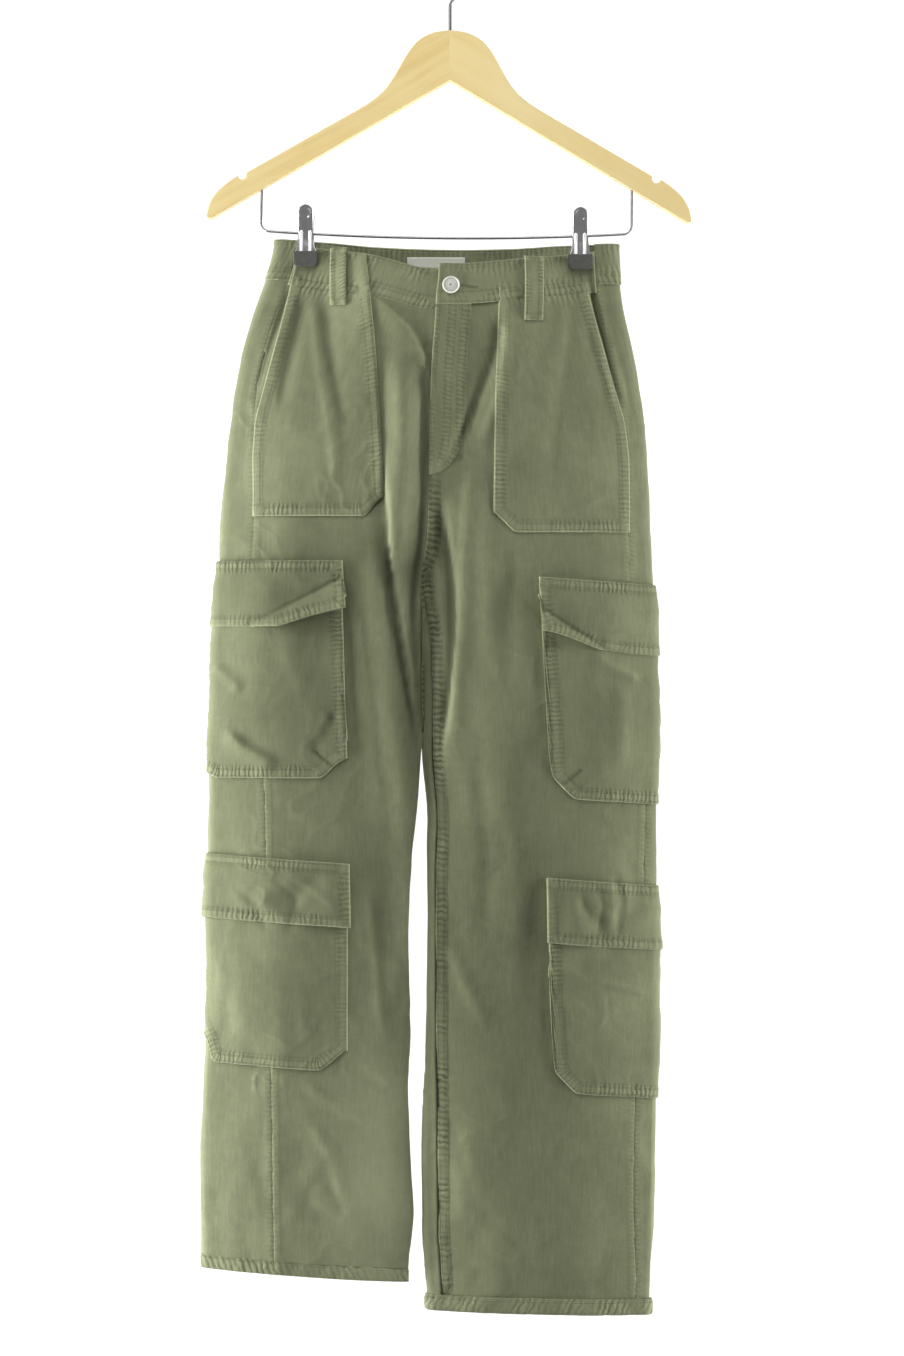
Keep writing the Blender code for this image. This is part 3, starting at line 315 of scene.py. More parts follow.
def read_face(side, behind, surface, outer, inner):
    """Rows of X and Y over one face of a leg, from its outer edge to its inner: behind is 1 or -1."""
    turn = EDGE_ROUND * (1 - np.cos(np.linspace(0, math.pi / 2, ROUND_STEPS + 1)))
    rows = []
    for drop, start, end in zip(hang_drops, outer, inner):
        width = abs(end - start)
        flat = np.linspace(EDGE_ROUND, width - EDGE_ROUND, FLAT_STEPS + 1)[1:-1]
        xs = start - SIDES[side] * np.concatenate([turn, flat, width - turn[::-1]])
        ys = np.full(len(xs), np.nan)
        for i in range(1, len(xs) - 1):
            origin = Vector((xs[i] * MM, behind * READ_FROM, WOOD_TOP - drop * MM))
            hit = surface.ray_cast(origin, Vector((0, -behind, 0)), READ_FROM)[0]
            if hit is not None and hit.y * behind > READ_PAST:
                ys[i] = hit.y / MM
        rows.append(np.stack([xs, ys], axis=1))
    face = np.array(rows)
    depths = face[:, :, 1]
    for row in depths:
        known = np.flatnonzero(~np.isnan(row))
        if len(known) > ROW_LEAST:
            span = slice(known[0], known[-1] + 1)
            row[span] = bridged(row[span])
    for column in range(1, depths.shape[1] - 1):
        depths[:, column] = bridged(depths[:, column])
    depths[:, 0] = 0.0
    depths[:, -1] = 2 * depths[:, -2] - depths[:, -3]
    depths[:, -1] *= np.clip(np.abs(depths[:, -1]) - INNER_LEAST, 0, 1)
    away = np.abs(face[:, :, 0] - inner[:, None])
    below = steps(hang_drops, *CROTCH_DROPS)
    for row in np.flatnonzero(below < 1):
        edge_depth = np.interp(HELD_WIDTH, away[row, ::-1], depths[row, ::-1])
        held = np.where(away[row] < HELD_WIDTH, edge_depth, depths[row])
        depths[row] = held * (1 - below[row]) + depths[row] * below[row]
    if behind > 0:
        left_over = np.interp(away / np.abs(outer - inner)[:, None], *zip(*LEG_SHARES[side]))
        lower = steps(hang_drops, *FLATTENING_DROPS)[:, None]
        depths[:] = depths * (1 - lower) + left_over * depths.min(axis=1)[:, None] * lower
    face[:, :, 1] = eased(eased(depths, ACROSS_EASING, 1), DOWN_EASING, 0)
    return face


def read_hang(side):
    """(points, lengths): rows of points from the back's inner edge round to the front's inner edge,
    and for each row the length of its back and of its front."""
    body = nodes_of(f"front_{side}", f"back_{side}", f"hem_{side}")
    everything = body + [f"waistband_{side}", "waistband_back"]
    outer, inner = leg_edges(side, everything, body)
    surface = outside_of(everything)
    back, front = (read_face(side, behind, surface, outer, inner) for behind in (1, -1))
    rows, lengths = [], []
    for back_row, front_row, drop in zip(back, front, hang_drops):
        resampled = []
        for face in (back_row, front_row):
            spans = np.concatenate([[0], np.cumsum(np.linalg.norm(np.diff(face, axis=0), axis=1))])
            even = np.linspace(0, spans[-1], HANG_COLUMNS + 1)
            resampled.append(np.stack([np.interp(even, spans, face[:, k]) for k in (0, 1)], axis=1))
            lengths.append(spans[-1])
        ring = np.concatenate([resampled[0][::-1], resampled[1][1:]])
        rows.append(np.column_stack([ring, np.full(len(ring), drop)]))
    return np.array(rows), np.array(lengths).reshape(-1, 2)


hang = {side: read_hang(side) for side in SIDES}
hang_normals = {}
for side, (points, _) in hang.items():
    normals = np.cross(np.gradient(points, axis=1), np.gradient(points, axis=0)) * SIDES[side] * -1
    hang_normals[side] = normals / np.linalg.norm(normals, axis=2, keepdims=True)


def row_of(drop):
    """(row, share): the row of the hang above a drop, and how far the drop lies towards the next."""
    rows = np.clip((drop - HANG_TOP) / HANG_STEP, 0, HANG_ROWS - 1.001)
    return rows.astype(int), rows - rows.astype(int)


def between(table, rows, share, columns):
    """Values of a table at fractional rows and columns."""
    columns = np.clip(columns, 0, table.shape[1] - 1.001)
    whole = columns.astype(int)
    part = (columns - whole)[..., None]
    share = share[..., None]
    upper = table[rows, whole] * (1 - part) + table[rows, whole + 1] * part
    lower = table[rows + 1, whole] * (1 - part) + table[rows + 1, whole + 1] * part
    return upper * (1 - share) + lower * share


def laid(side, along, drop, out=0.0):
    """(points, normals) of places on the cloth, in millimetres and drops, a distance out from it."""
    table, lengths = hang[side]
    rows, share = row_of(drop)
    back, front = (lengths[rows, k] * (1 - share) + lengths[rows + 1, k] * share for k in (0, 1))
    # a place past one inner edge is taken from the other, unless it only just overshoots in front
    turned = np.where(along > front + 1.0, along - front - back, along)
    turned = np.where(turned < -back, turned + front + back, turned)
    turned = np.where(turned > front, front, turned)
    columns = HANG_COLUMNS * (1 + np.where(turned > 0, turned / front, turned / back))
    points = between(table, rows, share, columns)
    normals = between(hang_normals[side], rows, share, columns)
    normals /= np.linalg.norm(normals, axis=-1, keepdims=True)
    points[..., 2] += np.minimum(drop - HANG_TOP, 0)
    return points + normals * np.asarray(out)[..., None], normals


def along_at(side, x, drop, facing=1):
    """The place along the front, or the back with facing -1, of an X at a drop."""
    table, lengths = hang[side]
    x, drop = np.broadcast_arrays(np.asarray(x, float), np.asarray(drop, float))
    rows, share = row_of(drop)
    result = np.zeros(x.shape)
    order = slice(None, None, -SIDES[side])
    for row in np.unique(rows):
        here = rows == row
        for number, weight in ((row, 1 - share[here]), (row + 1, share[here])):
            half = table[number, HANG_COLUMNS:, 0] if facing > 0 else table[number, HANG_COLUMNS::-1, 0]
            places = np.linspace(0, lengths[number, 1 if facing > 0 else 0], HANG_COLUMNS + 1)
            result[here] += weight * np.interp(x[here], half[order], places[order])
    return result * facing


def noise(u, v, seed):
    """Soft lumps between -1 and 1, about one to each unit."""
    knots = np.random.default_rng(seed).uniform(-1, 1, (128, 128))
    u, v = np.broadcast_arrays(np.asarray(u, float), np.asarray(v, float))
    i, j = np.floor(u).astype(int), np.floor(v).astype(int)
    s, t = steps(u - i, 0, 1), steps(v - j, 0, 1)
    i, j, k, m = i % 128, j % 128, (i + 1) % 128, (j + 1) % 128
    low = knots[i, j] * (1 - s) + knots[k, j] * s
    high = knots[i, m] * (1 - s) + knots[k, m] * s
    return low * (1 - t) + high * t


def beside(flat, line):
    """(distance, run): how far flat places are from a line of points, and how far along it they lie."""
    distance = np.full(flat.shape[:-1], np.inf)
    run = np.zeros(flat.shape[:-1])
    travelled = 0.0
    for start, end in zip(line, line[1:]):
        step = end - start
        length = math.hypot(*step)
        share = np.clip(((flat - start) @ step) / max(length * length, 1e-9), 0, 1)
        away = np.hypot(*np.moveaxis(flat - start - share[..., None] * step, -1, 0))
        nearer = away < distance
        distance = np.where(nearer, away, distance)
        run = np.where(nearer, travelled + share * length, run)
        travelled += length
    return distance, run


# --- Olive twill ---
# The cloth is a midweight cotton twill, dyed olive after sewing and then washed, so seams and raised
# edges have lost colour. Its hollows and some parts are painted darker as shade, and its ridges and
# some parts lighter as light. Its diagonal ribs are about 0.7 mm apart.
TWILL_DARK = (0.088, 0.096, 0.050)
TWILL_MIDDLE = (0.198, 0.217, 0.122)
TWILL_PALE = (0.368, 0.396, 0.236)
RIB_PITCH = 0.7
THREAD_PITCH = 3.3
LADDER_PITCH = 4.3
BANDS_TO_METRE = 1000.0 / 20  # a wave texture's scale for bands one millimetre apart


def scaled(socket, amount, add=0.0):
    return maths("MULTIPLY_ADD", socket, amount, add)


def summed(*parts):
    """The sum of sockets, each given alone or as (socket, amount) or (socket, amount, added)."""
    parts = [scaled(*part) if isinstance(part, tuple) else part for part in parts]
    total = parts[0]
    for part in parts[1:]:
        total = maths("ADD", total, part)
    return total


def speckle(coordinates, scale, detail=2.0, roughness=0.5):
    """Noise about its middle, between -0.5 and 0.5."""
    made = linked("ShaderNodeTexNoise", Vector=coordinates, Scale=scale, Detail=detail, Roughness=roughness)
    return scaled(made.outputs["Fac"], 1.0, -0.5)


def stretched(coordinates, scale, turn=(0.0, 0.0, 0.0)):
    return linked("ShaderNodeMapping", Vector=coordinates, Scale=scale, Rotation=turn).outputs[0]


def read(name):
    """A value that the points of a piece carry."""
    return linked("ShaderNodeAttribute", {"attribute_name": name}).outputs["Fac"]


def within(distance, half, soft):
    """1 where a distance is inside a half width, and 0 past a soft edge."""
    made = linked(
        "ShaderNodeMapRange", {"interpolation_type": "SMOOTHSTEP"}, Value=maths("ABSOLUTE", distance),
        From_Min=half, From_Max=half + soft, To_Min=1.0, To_Max=0.0,
    )
    return made.outputs[0]


def coloured(shade, first, *others):
    """Gives the shader its colour, from dark to pale by a shade: each stop is (shade, colour)."""
    ramp = linked("ShaderNodeValToRGB", Fac=shade)
    *between_them, last = others
    for stop, (place, colour) in zip(ramp.color_ramp.elements, (first, last)):
        stop.position, stop.color = place, (*colour, 1)
    for place, colour in between_them:
        ramp.color_ramp.elements.new(place).color = (*colour, 1)
    tree.links.new(ramp.outputs["Color"], shader.inputs["Base Color"])


def bumped(height):
    """Gives the shader its low relief, by a height in millimetres."""
    bump = linked("ShaderNodeBump", Height=height, Distance=0.001)
    tree.links.new(bump.outputs["Normal"], shader.inputs["Normal"])


twill, tree, shader = principled(
    "olive_twill", 0.88, Sheen_Weight=0.12, Sheen_Roughness=0.5, Specular_IOR_Level=0.25,
)
flat_map = linked("ShaderNodeUVMap", {"uv_map": "cloth"}).outputs[0]
clouds = speckle(flat_map, 14.0, 3.0)
mottle = speckle(flat_map, 95.0, 4.0, 0.65)
slubs = speckle(stretched(flat_map, (1.0, 0.12, 1.0)), 420.0)
grain = speckle(flat_map, 900.0, 2.0, 0.7)
ribs = linked(
    "ShaderNodeTexWave", {"bands_direction": "DIAGONAL", "wave_type": "BANDS"},
    Vector=flat_map, Scale=BANDS_TO_METRE / RIB_PITCH * math.sqrt(2), Distortion=0.6, Detail=1.0,
).outputs["Fac"]
cycle = maths("ADD", read("wave"), scaled(speckle(flat_map, 130.0, 1.0), 1.1))
rungs = scaled(maths("SINE", maths("MULTIPLY", cycle, 2 * math.pi)), 0.5, 0.5)
ladder = maths("MULTIPLY", read("rung"), scaled(maths("POWER", rungs, 0.65), 2.0, -1.2))
clear = read("clear")


def over_rows(half, soft):
    """1 along the rows of thread, to that half width, where no other seam is as near."""
    rows = (within(read(row), half, soft) for row in ("row_near", "row_far"))
    return maths("MULTIPLY", clear, maths("MAXIMUM", *rows))


dents, stitches = over_rows(0.5, 0.9), over_rows(0.1, 0.28)
dash = maths("PINGPONG", scaled(read("run"), 1.0 / THREAD_PITCH), 0.5)
dash = linked("ShaderNodeMapRange", Value=dash, From_Min=0.06, From_Max=0.16).outputs[0]
thread = maths("MULTIPLY", stitches, dash)
# the ladder's crests are lighter, faded by washing, and its troughs painted darker as shade; the rows of thread
# are painted darker as the shade in their dents
coloured(
    summed(
        read("wear_and_painted_light"), (clouds, 0.14), (mottle, 0.2), (slubs, 0.2), (grain, 0.24), (ladder, 0.1), (dents, -0.13),
        (thread, 0.17),
    ),
    (0.1, TWILL_DARK), (0.5, TWILL_MIDDLE), (0.92, TWILL_PALE),
)
bumped(summed(
    (ribs, 0.02), (grain, 0.1), (slubs, 0.07), (mottle, 0.2), (ladder, 0.13), (dents, -0.16), (thread, 0.3),
))


# --- Folds ---
# The weight of the legs pulls creases down from the clips, the fly and the crotch, and the sewn corners
# throw short ones. Each is a line on the front, as X and drop, with the reach of its two slopes.
CREASES = (
    # height, reach to the viewer's left, reach to the right, (x, drop) points
    # from the fly's top corner down beside the fly and into the crotch
    (2.4, 12.0, 3.0, ((-74, 246), (-50, 268), (-37, 280), (-24, 306), (-21, 332))),
    (-1.8, 4.5, 2.2, ((-22.5, 298), (-20.5, 343), (-20.5, 390), (-23, 436), (-27, 483), (-32, 529), (-33, 570))),
    (2.8, 9.0, 13.0, ((-47, 290), (-45, 345), (-44, 400), (-43, 450), (-42, 505))),
    # from the patch pocket's corner into the inside of the thigh: a sharp fold with a hollow outside it
    (-3.4, 9.0, 1.8, ((-62, 400), (-58, 470), (-54, 515), (-50, 548), (-43, 590), (-35, 634), (-31, 670))),
    (1.5, 1.6, 12.0, ((-60, 380), (-56, 470), (-51, 515), (-46, 548), (-38, 590), (-28, 640))),
    (2.8, 13.0, 13.0, ((-77, 455), (-76, 529), (-70, 604), (-60, 678), (-50, 743), (-46, 827), (-50, 920))),
    # from the left patch pocket's top down under the fly's curve
    (-2.8, 4.0, 5.0, ((49, 256), (43, 286), (38, 307), (29, 332), (18, 361), (6, 390), (-2, 408))),
    (2.0, 5.0, 9.0, ((58, 262), (53, 300), (46, 335), (34, 368), (22, 396))),
    (-1.6, 4.0, 4.0, ((-10, 404), (4, 402), (16, 396))),
    (-4.4, 7.0, 4.0, ((-12, 424), (-6, 470), (0, 520), (2, 560), (-2, 610), (-7, 670))),
    (2.2, 4.0, 12.0, ((22, 396), (14, 440), (10, 500), (9, 555), (3, 610), (-2, 650), (-6, 710))),
    (1.4, 8.0, 10.0, ((34, 392), (32, 440), (32, 520), (34, 600))),
    (-1.5, 9.0, 9.0, ((60, 470), (54, 540), (50, 620))),
    # beside the mouths of the patch pockets
    (-2.6, 2.0, 4.0, ((127, 222), (137, 262), (150, 318), (161, 360))),
    (-1.2, 3.0, 2.0, ((-146, 232), (-170, 306), (-181, 345))),
    # inside the patch pockets
    (1.3, 6.0, 6.0, ((-128, 236), (-122, 300), (-108, 380), (-105, 440))),
    (-1.3, 8.0, 7.0, ((-116, 236), (-112, 300), (-98, 390))),
    (-1.5, 5.0, 7.0, ((-135, 240), (-148, 300), (-158, 360))),
    (1.2, 9.0, 6.0, ((110, 240), (102, 300), (92, 380), (90, 440))),
    (-1.3, 7.0, 7.0, ((128, 240), (136, 300), (148, 350))),
    # the cargo pockets
    (1.7, 9.0, 5.0, ((-209, 648), (-190, 666), (-158, 683))),
    (1.0, 6.0, 6.0, ((-220, 588), (-203, 603), (-190, 614))),
    (-1.5, 6.0, 9.0, ((-106, 630), (-121, 656), (-134, 668))),
    (1.3, 6.0, 5.0, ((130, 580), (153, 592), (179, 605))),
    (1.2, 10.0, 10.0, ((158, 600), (160, 640), (158, 690))),
    # the lower flaps have gone limp
    (-0.45, 2.5, 4.0, ((134, 786), (141, 813), (135, 842))),
    (-0.45, 4.0, 3.0, ((154, 778), (160, 808), (153, 845))),
    (0.45, 4.0, 4.0, ((147, 784), (151, 812), (145, 842))),
    (0.6, 3.0, 5.0, ((104, 866), (140, 883), (190, 896))),
    (-0.35, 4.0, 4.0, ((-166, 782), (-142, 806), (-150, 840))),
    (0.45, 4.0, 5.0, ((-158, 776), (-128, 796), (-100, 818))),
    (-0.4, 4.0, 4.0, ((-202, 792), (-178, 810), (-168, 838))),
    # the right leg's inner side and lower leg
    (-0.9, 5.0, 7.0, ((-74, 790), (-66, 860), (-60, 940))),
    (1.1, 6.0, 5.0, ((-85, 961), (-57, 983))),
    (1.2, 6.0, 5.0, ((-141, 972), (-108, 996), (-74, 1022))),
    (1.1, 6.0, 6.0, ((-133, 1008), (-107, 1047), (-98, 1090))),
    (-1.0, 5.0, 6.0, ((-115, 1064), (-106, 1085), (-98, 1103))),
    # the left leg
    (1.0, 7.0, 7.0, ((-5, 839), (14, 887), (36, 928))),
    (-1.1, 7.0, 7.0, ((-2, 1003), (21, 1085), (80, 1149))),
    (-0.9, 9.0, 9.0, ((30, 620), (26, 700), (34, 780), (30, 860))),
    (0.9, 12.0, 12.0, ((60, 600), (52, 700), (62, 800), (58, 960))),
)
FOLD_FADE = 0.22  # the share of a crease's length over which each end dies away
FOLD_STRENGTHS = ((940, 0.75), (560, 1.6), (0, 1.0))  # by where a crease starts, from the hem up


def folds(x, drop, facing):
    """Height of the large creases at places on the front. The back hangs smooth."""
    flat = np.stack([x, drop], axis=-1)
    total = np.zeros(x.shape)
    for height, left, right, path in CREASES:
        line = np.array(path, float)
        margin = 3 * max(left, right)
        inside = (flat > line.min(axis=0) - margin) & (flat < line.max(axis=0) + margin)
        near = (facing > 0) & np.all(inside, axis=-1)
        if not near.any():
            continue
        places = flat[near]
        distance, run = beside(places, line)
        length = np.hypot(*np.diff(line, axis=0).T).sum()
        at = np.interp(places[:, 1], line[:, 1], line[:, 0])
        width = np.where(places[:, 0] < at, left, right)
        fade = steps(run / length, 0, FOLD_FADE) * steps(1 - run / length, 0, FOLD_FADE)
        depth = height * next(strength for start, strength in FOLD_STRENGTHS if line[0, 1] > start)
        total[near] += depth * fade * np.exp(-((distance / width) ** 2))
    return total


# Some parts of the front are painted lighter, as the light that falls on them, and some darker, as shade.
LIT_AND_SHADED_SPOTS = (
    # X, drop, the reach of each, and how much lighter it is painted
    (-105, 370, 65, 110, 0.1), (100, 370, 60, 110, 0.05), (0, 235, 260, 24, 0.1),
    (-160, 520, 65, 38, -0.14), (-150, 640, 65, 75, -0.09), (140, 640, 50, 80, -0.07),
    (45, 850, 55, 170, -0.22), (1, 535, 7, 62, -0.4), (-72, 1065, 44, 125, 0.36), (-165, 1065, 55, 110, 0.05),
)


def painted_light_and_shade(x, drop, facing):
    places = (
        math.e ** -(((x - middle) / wide) ** 2 + ((drop - height) / tall) ** 2) * amount
        for middle, height, wide, tall, amount in LIT_AND_SHADED_SPOTS
    )
    return np.where(facing > 0, sum(places), 0.0)


def crumple(u, v, seed):
    """The small unevenness of washed cloth: soft lumps and a few sharper wrinkles."""
    bend = noise(u / 40, v / 40, seed + 1) * 1.2
    soft = noise(u / 34 + bend, v / 58, seed + 2) * 0.55 + noise(u / 15, v / 24 + bend, seed + 3) * 0.22
    ridge = 1 - np.abs(noise(u / 26 + bend, v / 21 - bend, seed + 4))
    return soft + 0.4 * ridge**6 * steps(noise(u / 60, v / 60, seed + 5), 0.0, 0.6)


# --- How an edge is sewn ---
# Turned edges are pressed and stitched down, once or twice. The thread draws the cloth up between its
# rows, so the edge puckers like a ladder: washing fades each rung's crest, and its trough is painted dark as
# shade.
FAR_OFF = 50.0  # stands for the distance to a row of thread that isn't there


class Seam:
    """A sewn edge: its line, its depth, how proud it is, its rows of thread, its pucker, and the shade painted
    over its strip.
    """

    def __init__(
        self, line, width=9.0, rise=0.55, rows=(1.8, 7.8), pucker=1.0, pitch=LADDER_PITCH, roll=0.9, spread=5.0,
        slant=0.0, shade=0.0,
    ):
        self.line, self.width, self.rise, self.rows = np.asarray(line, float), width, rise, rows
        self.pucker, self.pitch, self.roll, self.spread = pucker, pitch, roll, spread
        self.slant, self.shade = slant, shade

    def relief(self, flat, seed):
        """(height, wear_and_painted_light, reading): reading holds what the cloth's material needs to draw the
        sewing.
        """
        distance, run = beside(flat, self.line)
        past = distance - self.width
        strength = np.clip(0.8 + 0.75 * noise(run / 15, distance * 0, seed + 1), 0.1, 1.4)
        rung = steps(distance, -1.0, 1.6) * (1 - steps(distance, self.width - 1, self.width + self.spread))
        height = self.rise * (1 - steps(distance, self.width - 0.4, self.width + 1.2))
        height -= self.roll * (1 - steps(distance, 0.0, 1.6)) ** 2
        height += 0.3 * self.pucker * noise(run / 6, distance / 12, seed) * rung
        # the turned edge is worn lighter, and the sewn strip a little lighter; just past the strip a dark line is
        # painted as the shadow of its raised edge, and any shade given is painted over the strip
        wear_and_painted_light = 0.2 * (1 - steps(distance, 0.1, 1.1)) - 0.1 * np.exp(-(((past - 0.9) / 1.1) ** 2))
        wear_and_painted_light += (0.05 + self.shade) * (1 - steps(distance, self.width - 1, self.width + 1))
        return height, wear_and_painted_light, self.reading(distance, run, self.pucker * strength * rung)

    def reading(self, distance, run, rung):
        near, far = ([distance - row for row in self.rows] + [np.full(distance.shape, FAR_OFF)] * 2)[:2]
        wave = run / self.pitch + self.slant * distance
        return {"distance": distance, "row_near": near, "row_far": far, "run": run, "wave": wave, "rung": rung}


class Groove(Seam):
    """A plain seam, closed inside: a fine line that the cloth dips into, with its edges pressed open, and painted
    dark in the dip as its shadow.
    """

    def __init__(self, line, width, rise, pucker=0.0, painted_shadow=0.05):
        super().__init__(line, width, rise, (), pucker)
        self.painted_shadow = painted_shadow

    def relief(self, flat, seed):
        distance, run = beside(flat, self.line)
        close = 1 - steps(distance, 2.0, self.width)
        height = -self.rise * np.exp(-((distance / 1.1) ** 2))
        height = height + 0.15 * noise(run / 6, distance / 12, seed) * close
        height += 0.22 * (1 - steps(distance, self.width - 2.5, self.width))
        wear_and_painted_light = 0.05 * close - self.painted_shadow * np.exp(-((distance / 1.2) ** 2))
        return height, wear_and_painted_light, self.reading(distance, run, self.pucker * close)


class Stitching(Seam):
    """A row of thread through flat cloth, on both sides of a line, with the ripples that it draws up."""

    def relief(self, flat, seed):
        distance, run = beside(flat, self.line)
        close = 1 - steps(distance, self.width, self.width + self.spread)
        height = 0.2 * self.pucker * noise(run / 6, distance / 12, seed) * close
        return height, 0.02 * close, self.reading(distance, run, self.pucker * close)


def sewn_together(seams, flat, seed):
    """The heights, and the wear and painted shade, of all the seams on a piece, and each place's reading of its
    nearest one.
    """
    none = np.zeros(flat.shape[:-1])
    height = wear_and_painted_light = none
    second = none + FAR_OFF
    chosen = {name: second for name in ("distance", "row_near", "row_far")}
    chosen.update(run=none, wave=none, rung=none)
    for number, seam in enumerate(seams):
        rise, fade, reading = seam.relief(flat, seed + 11 * number + 20)
        height, wear_and_painted_light = height + rise, wear_and_painted_light + fade
        nearer = reading["distance"] < chosen["distance"]
        second = np.where(nearer, chosen["distance"], np.minimum(second, reading["distance"]))
        chosen = {name: np.where(nearer, reading[name], chosen[name]) for name in chosen}
    # the sewing stops short of the places where two seams are as near
    chosen["clear"] = steps(second - chosen["distance"], 2.2, 4.2)
    chosen["rung"] = chosen["rung"] * chosen["clear"]
    return height, wear_and_painted_light, chosen


GROUND_SEED = {"right": 100, "left": 300}
GROUND_HEIGHT = 1.4
HOLLOW_REACH = 5.0
HOLLOW_SHADING = 0.14  # the shade painted into a hollow, and the light onto a ridge, for each millimetre of its depth
CARRIED = ("wear_and_painted_light", "row_near", "row_far", "run", "wave", "rung", "clear")  # what each point tells the material
MERGED = 0.00005


class Cloth:
    """A piece of cloth laid on the hang. Its flat places are (along, drop), in millimetres, and it stands
    off the hang by a distance, or by what a function of the flat places gives."""

    def __init__(self, name, side, out, seams, seed, rumple=1.0):
        self.name, self.side, self.out, self.seams, self.seed = name, side, out, seams, seed
        self.rumple = rumple

    def ground(self, along, drop, x, facing, shift):
        """Height of the cloth before its seams, that far to one side of each place."""
        along, x = along - shift * SIDES[self.side], x + shift
        lumps = crumple(along, drop, GROUND_SEED[self.side])
        return folds(x, drop, facing) + GROUND_HEIGHT * self.rumple * lumps

    def relief(self, flat):
        """(height, values): values holds what each point carries for the material."""
        along, drop = flat[..., 0], flat[..., 1]
        x = laid(self.side, along, drop)[0][..., 0]
        facing = np.where(along > 0, 1, -1)
        shifts = (0.0, -HOLLOW_REACH, HOLLOW_REACH)
        height, left, right = (self.ground(along, drop, x, facing, shift) for shift in shifts)
        # the cloth is painted darker in its hollows and lighter on its ridges, as shade and light
        hollow = np.clip((left + right) / 2 - height, -1.3, 2.2)
        wear_and_painted_light = 0.5 + 0.05 * noise(along / 30, drop / 45, self.seed + 9) - HOLLOW_SHADING * hollow
        wear_and_painted_light += painted_light_and_shade(x, drop, facing)
        rise, fade, reading = sewn_together(self.seams, flat, self.seed)
        return height + rise, {"wear_and_painted_light": wear_and_painted_light + fade, **reading}

    def laid(self, flat, out):
        return laid(self.side, flat[..., 0], flat[..., 1], out)

    def places(self, flat):
        """(points, normals, values) of the cloth's face, in the frame and in metres."""
        height, values = self.relief(flat)
        points, normals = self.laid(flat, (self.out(flat) if callable(self.out) else self.out) + height)
        points[..., 2] = WOOD_TOP / MM - points[..., 2]
        return points * MM, normals * (1, 1, -1), values

    def made(self, flat, wall, ring=False):
        """The piece over a grid of flat places, with a wall of that thickness behind its face."""
        points, normals, values = self.places(flat)
        rows, columns = points.shape[:2]
        bm = bmesh.new()
        bmesh.ops.create_grid(bm, x_segments=columns - 1, y_segments=rows - 1, size=1.0)
        mesh = bpy.data.meshes.new(self.name)
        bm.to_mesh(mesh)
        mesh.vertices.foreach_set("co", points.ravel())
        for name in CARRIED:
            mesh.attributes.new(name, "FLOAT", "POINT").data.foreach_set("value", values[name].ravel())
        corners = np.empty(len(mesh.loops), int)
        mesh.loops.foreach_get("vertex_index", corners)
        spread = flat.reshape(-1, 2)[corners] * MM
        mesh.uv_layers.new(name="cloth").data.foreach_set("uv", spread.ravel())
        mesh.update()
        face = mesh.polygons[len(mesh.polygons) // 2 + columns // 2]
        if face.normal.dot(Vector(normals.reshape(-1, 3)[face.vertices[0]])) < 0:
            mesh.flip_normals()
        if ring:
            bm.clear()
            bm.from_mesh(mesh)
            bmesh.ops.remove_doubles(bm, verts=bm.verts, dist=MERGED)
            bm.to_mesh(mesh)
        bm.free()
        mesh.shade_smooth()
        mesh.materials.append(twill)
        piece = bpy.data.objects.new(self.name, mesh)
        scene.collection.objects.link(piece)
        thickness = piece.modifiers.new("thickness", "SOLIDIFY")
        thickness.thickness = wall * MM
        thickness.offset = -1.0
        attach(piece, "root")
        return piece


def spaced(length, fine, coarse, border):
    """Shares from 0 to 1 of a length, closer together near both ends."""
    ends = np.arange(0, border, fine)
    count = max(int((length - 2 * border) / coarse), 1)
    middle = np.linspace(border, length - border, count + 1)
    return np.concatenate([ends, middle, length - ends[::-1]]) / length


def even(length, pitch):
    """Even shares from 0 to 1 of a length."""
    return np.linspace(0, 1, max(int(length / pitch), 2) + 1)


def rows_and_columns(top, bottom, width, pitch, across=None):
    """(down, shares, drop): a grid's shares down and across, and its drops before its edges are fitted."""
    down, shares = even(bottom - top, pitch)[:, None], even(width, across or pitch)[None, :]
    return down, shares, top + (bottom - top) * down + 0 * shares


def drops_of(node):
    """The drops of a node's top and bottom."""
    low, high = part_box(node)
    return (WOOD_TOP - high.z) / MM, (WOOD_TOP - low.z) / MM


def xs_of(node, margin, count):
    """Even X places over a node's width, less a margin at both sides."""
    low, high = (corner.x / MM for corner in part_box(node))
    return np.linspace(low + margin, high - margin, count)


def line_through(side, points):
    """The line on the front of the cloth through points of X and drop."""
    xs, drops = np.array(points, float).T
    return np.column_stack([along_at(side, xs, drops), drops])


# --- Fronts and backs ---
# Each leg has one front and one back, cut in one length from the waistband to the hem. They are joined
# by a plain seam at the side and a felled one, sewn twice, at the inside leg and the rise.
INSEAM_BEHIND = 2.5  # on the right leg the inside seam has turned just out of sight
PANEL_WALL = 1.1
PANEL_TUCK = 1.2
PANEL_WIDTH, PANEL_BORDER = 190.0, 13.0
TOP_FITTED, HEM_FITTED = 150.0, 200.0  # how far from its ends a panel follows the slant of its edge
SEAM_UNDER, SEAM_DIP = 1.5, 0.6  # past the side seam, each edge runs on and dips out of sight
FINE, COARSE, ROWS_APART = 1.4, 3.6, 2.0
PANEL_SEED = {("right", 1): 100, ("right", -1): 200, ("left", 1): 300, ("left", -1): 400}
# the hand pockets' mouths stand a little open, and the front dips behind them, painted dark as shadow: X and drop
POCKET_MOUTHS = {
    "right": ((-172, 300), (-180, 330), (-184, 352)),
    "left": ((132, 246), (142, 284), (153, 322), (162, 352)),
}


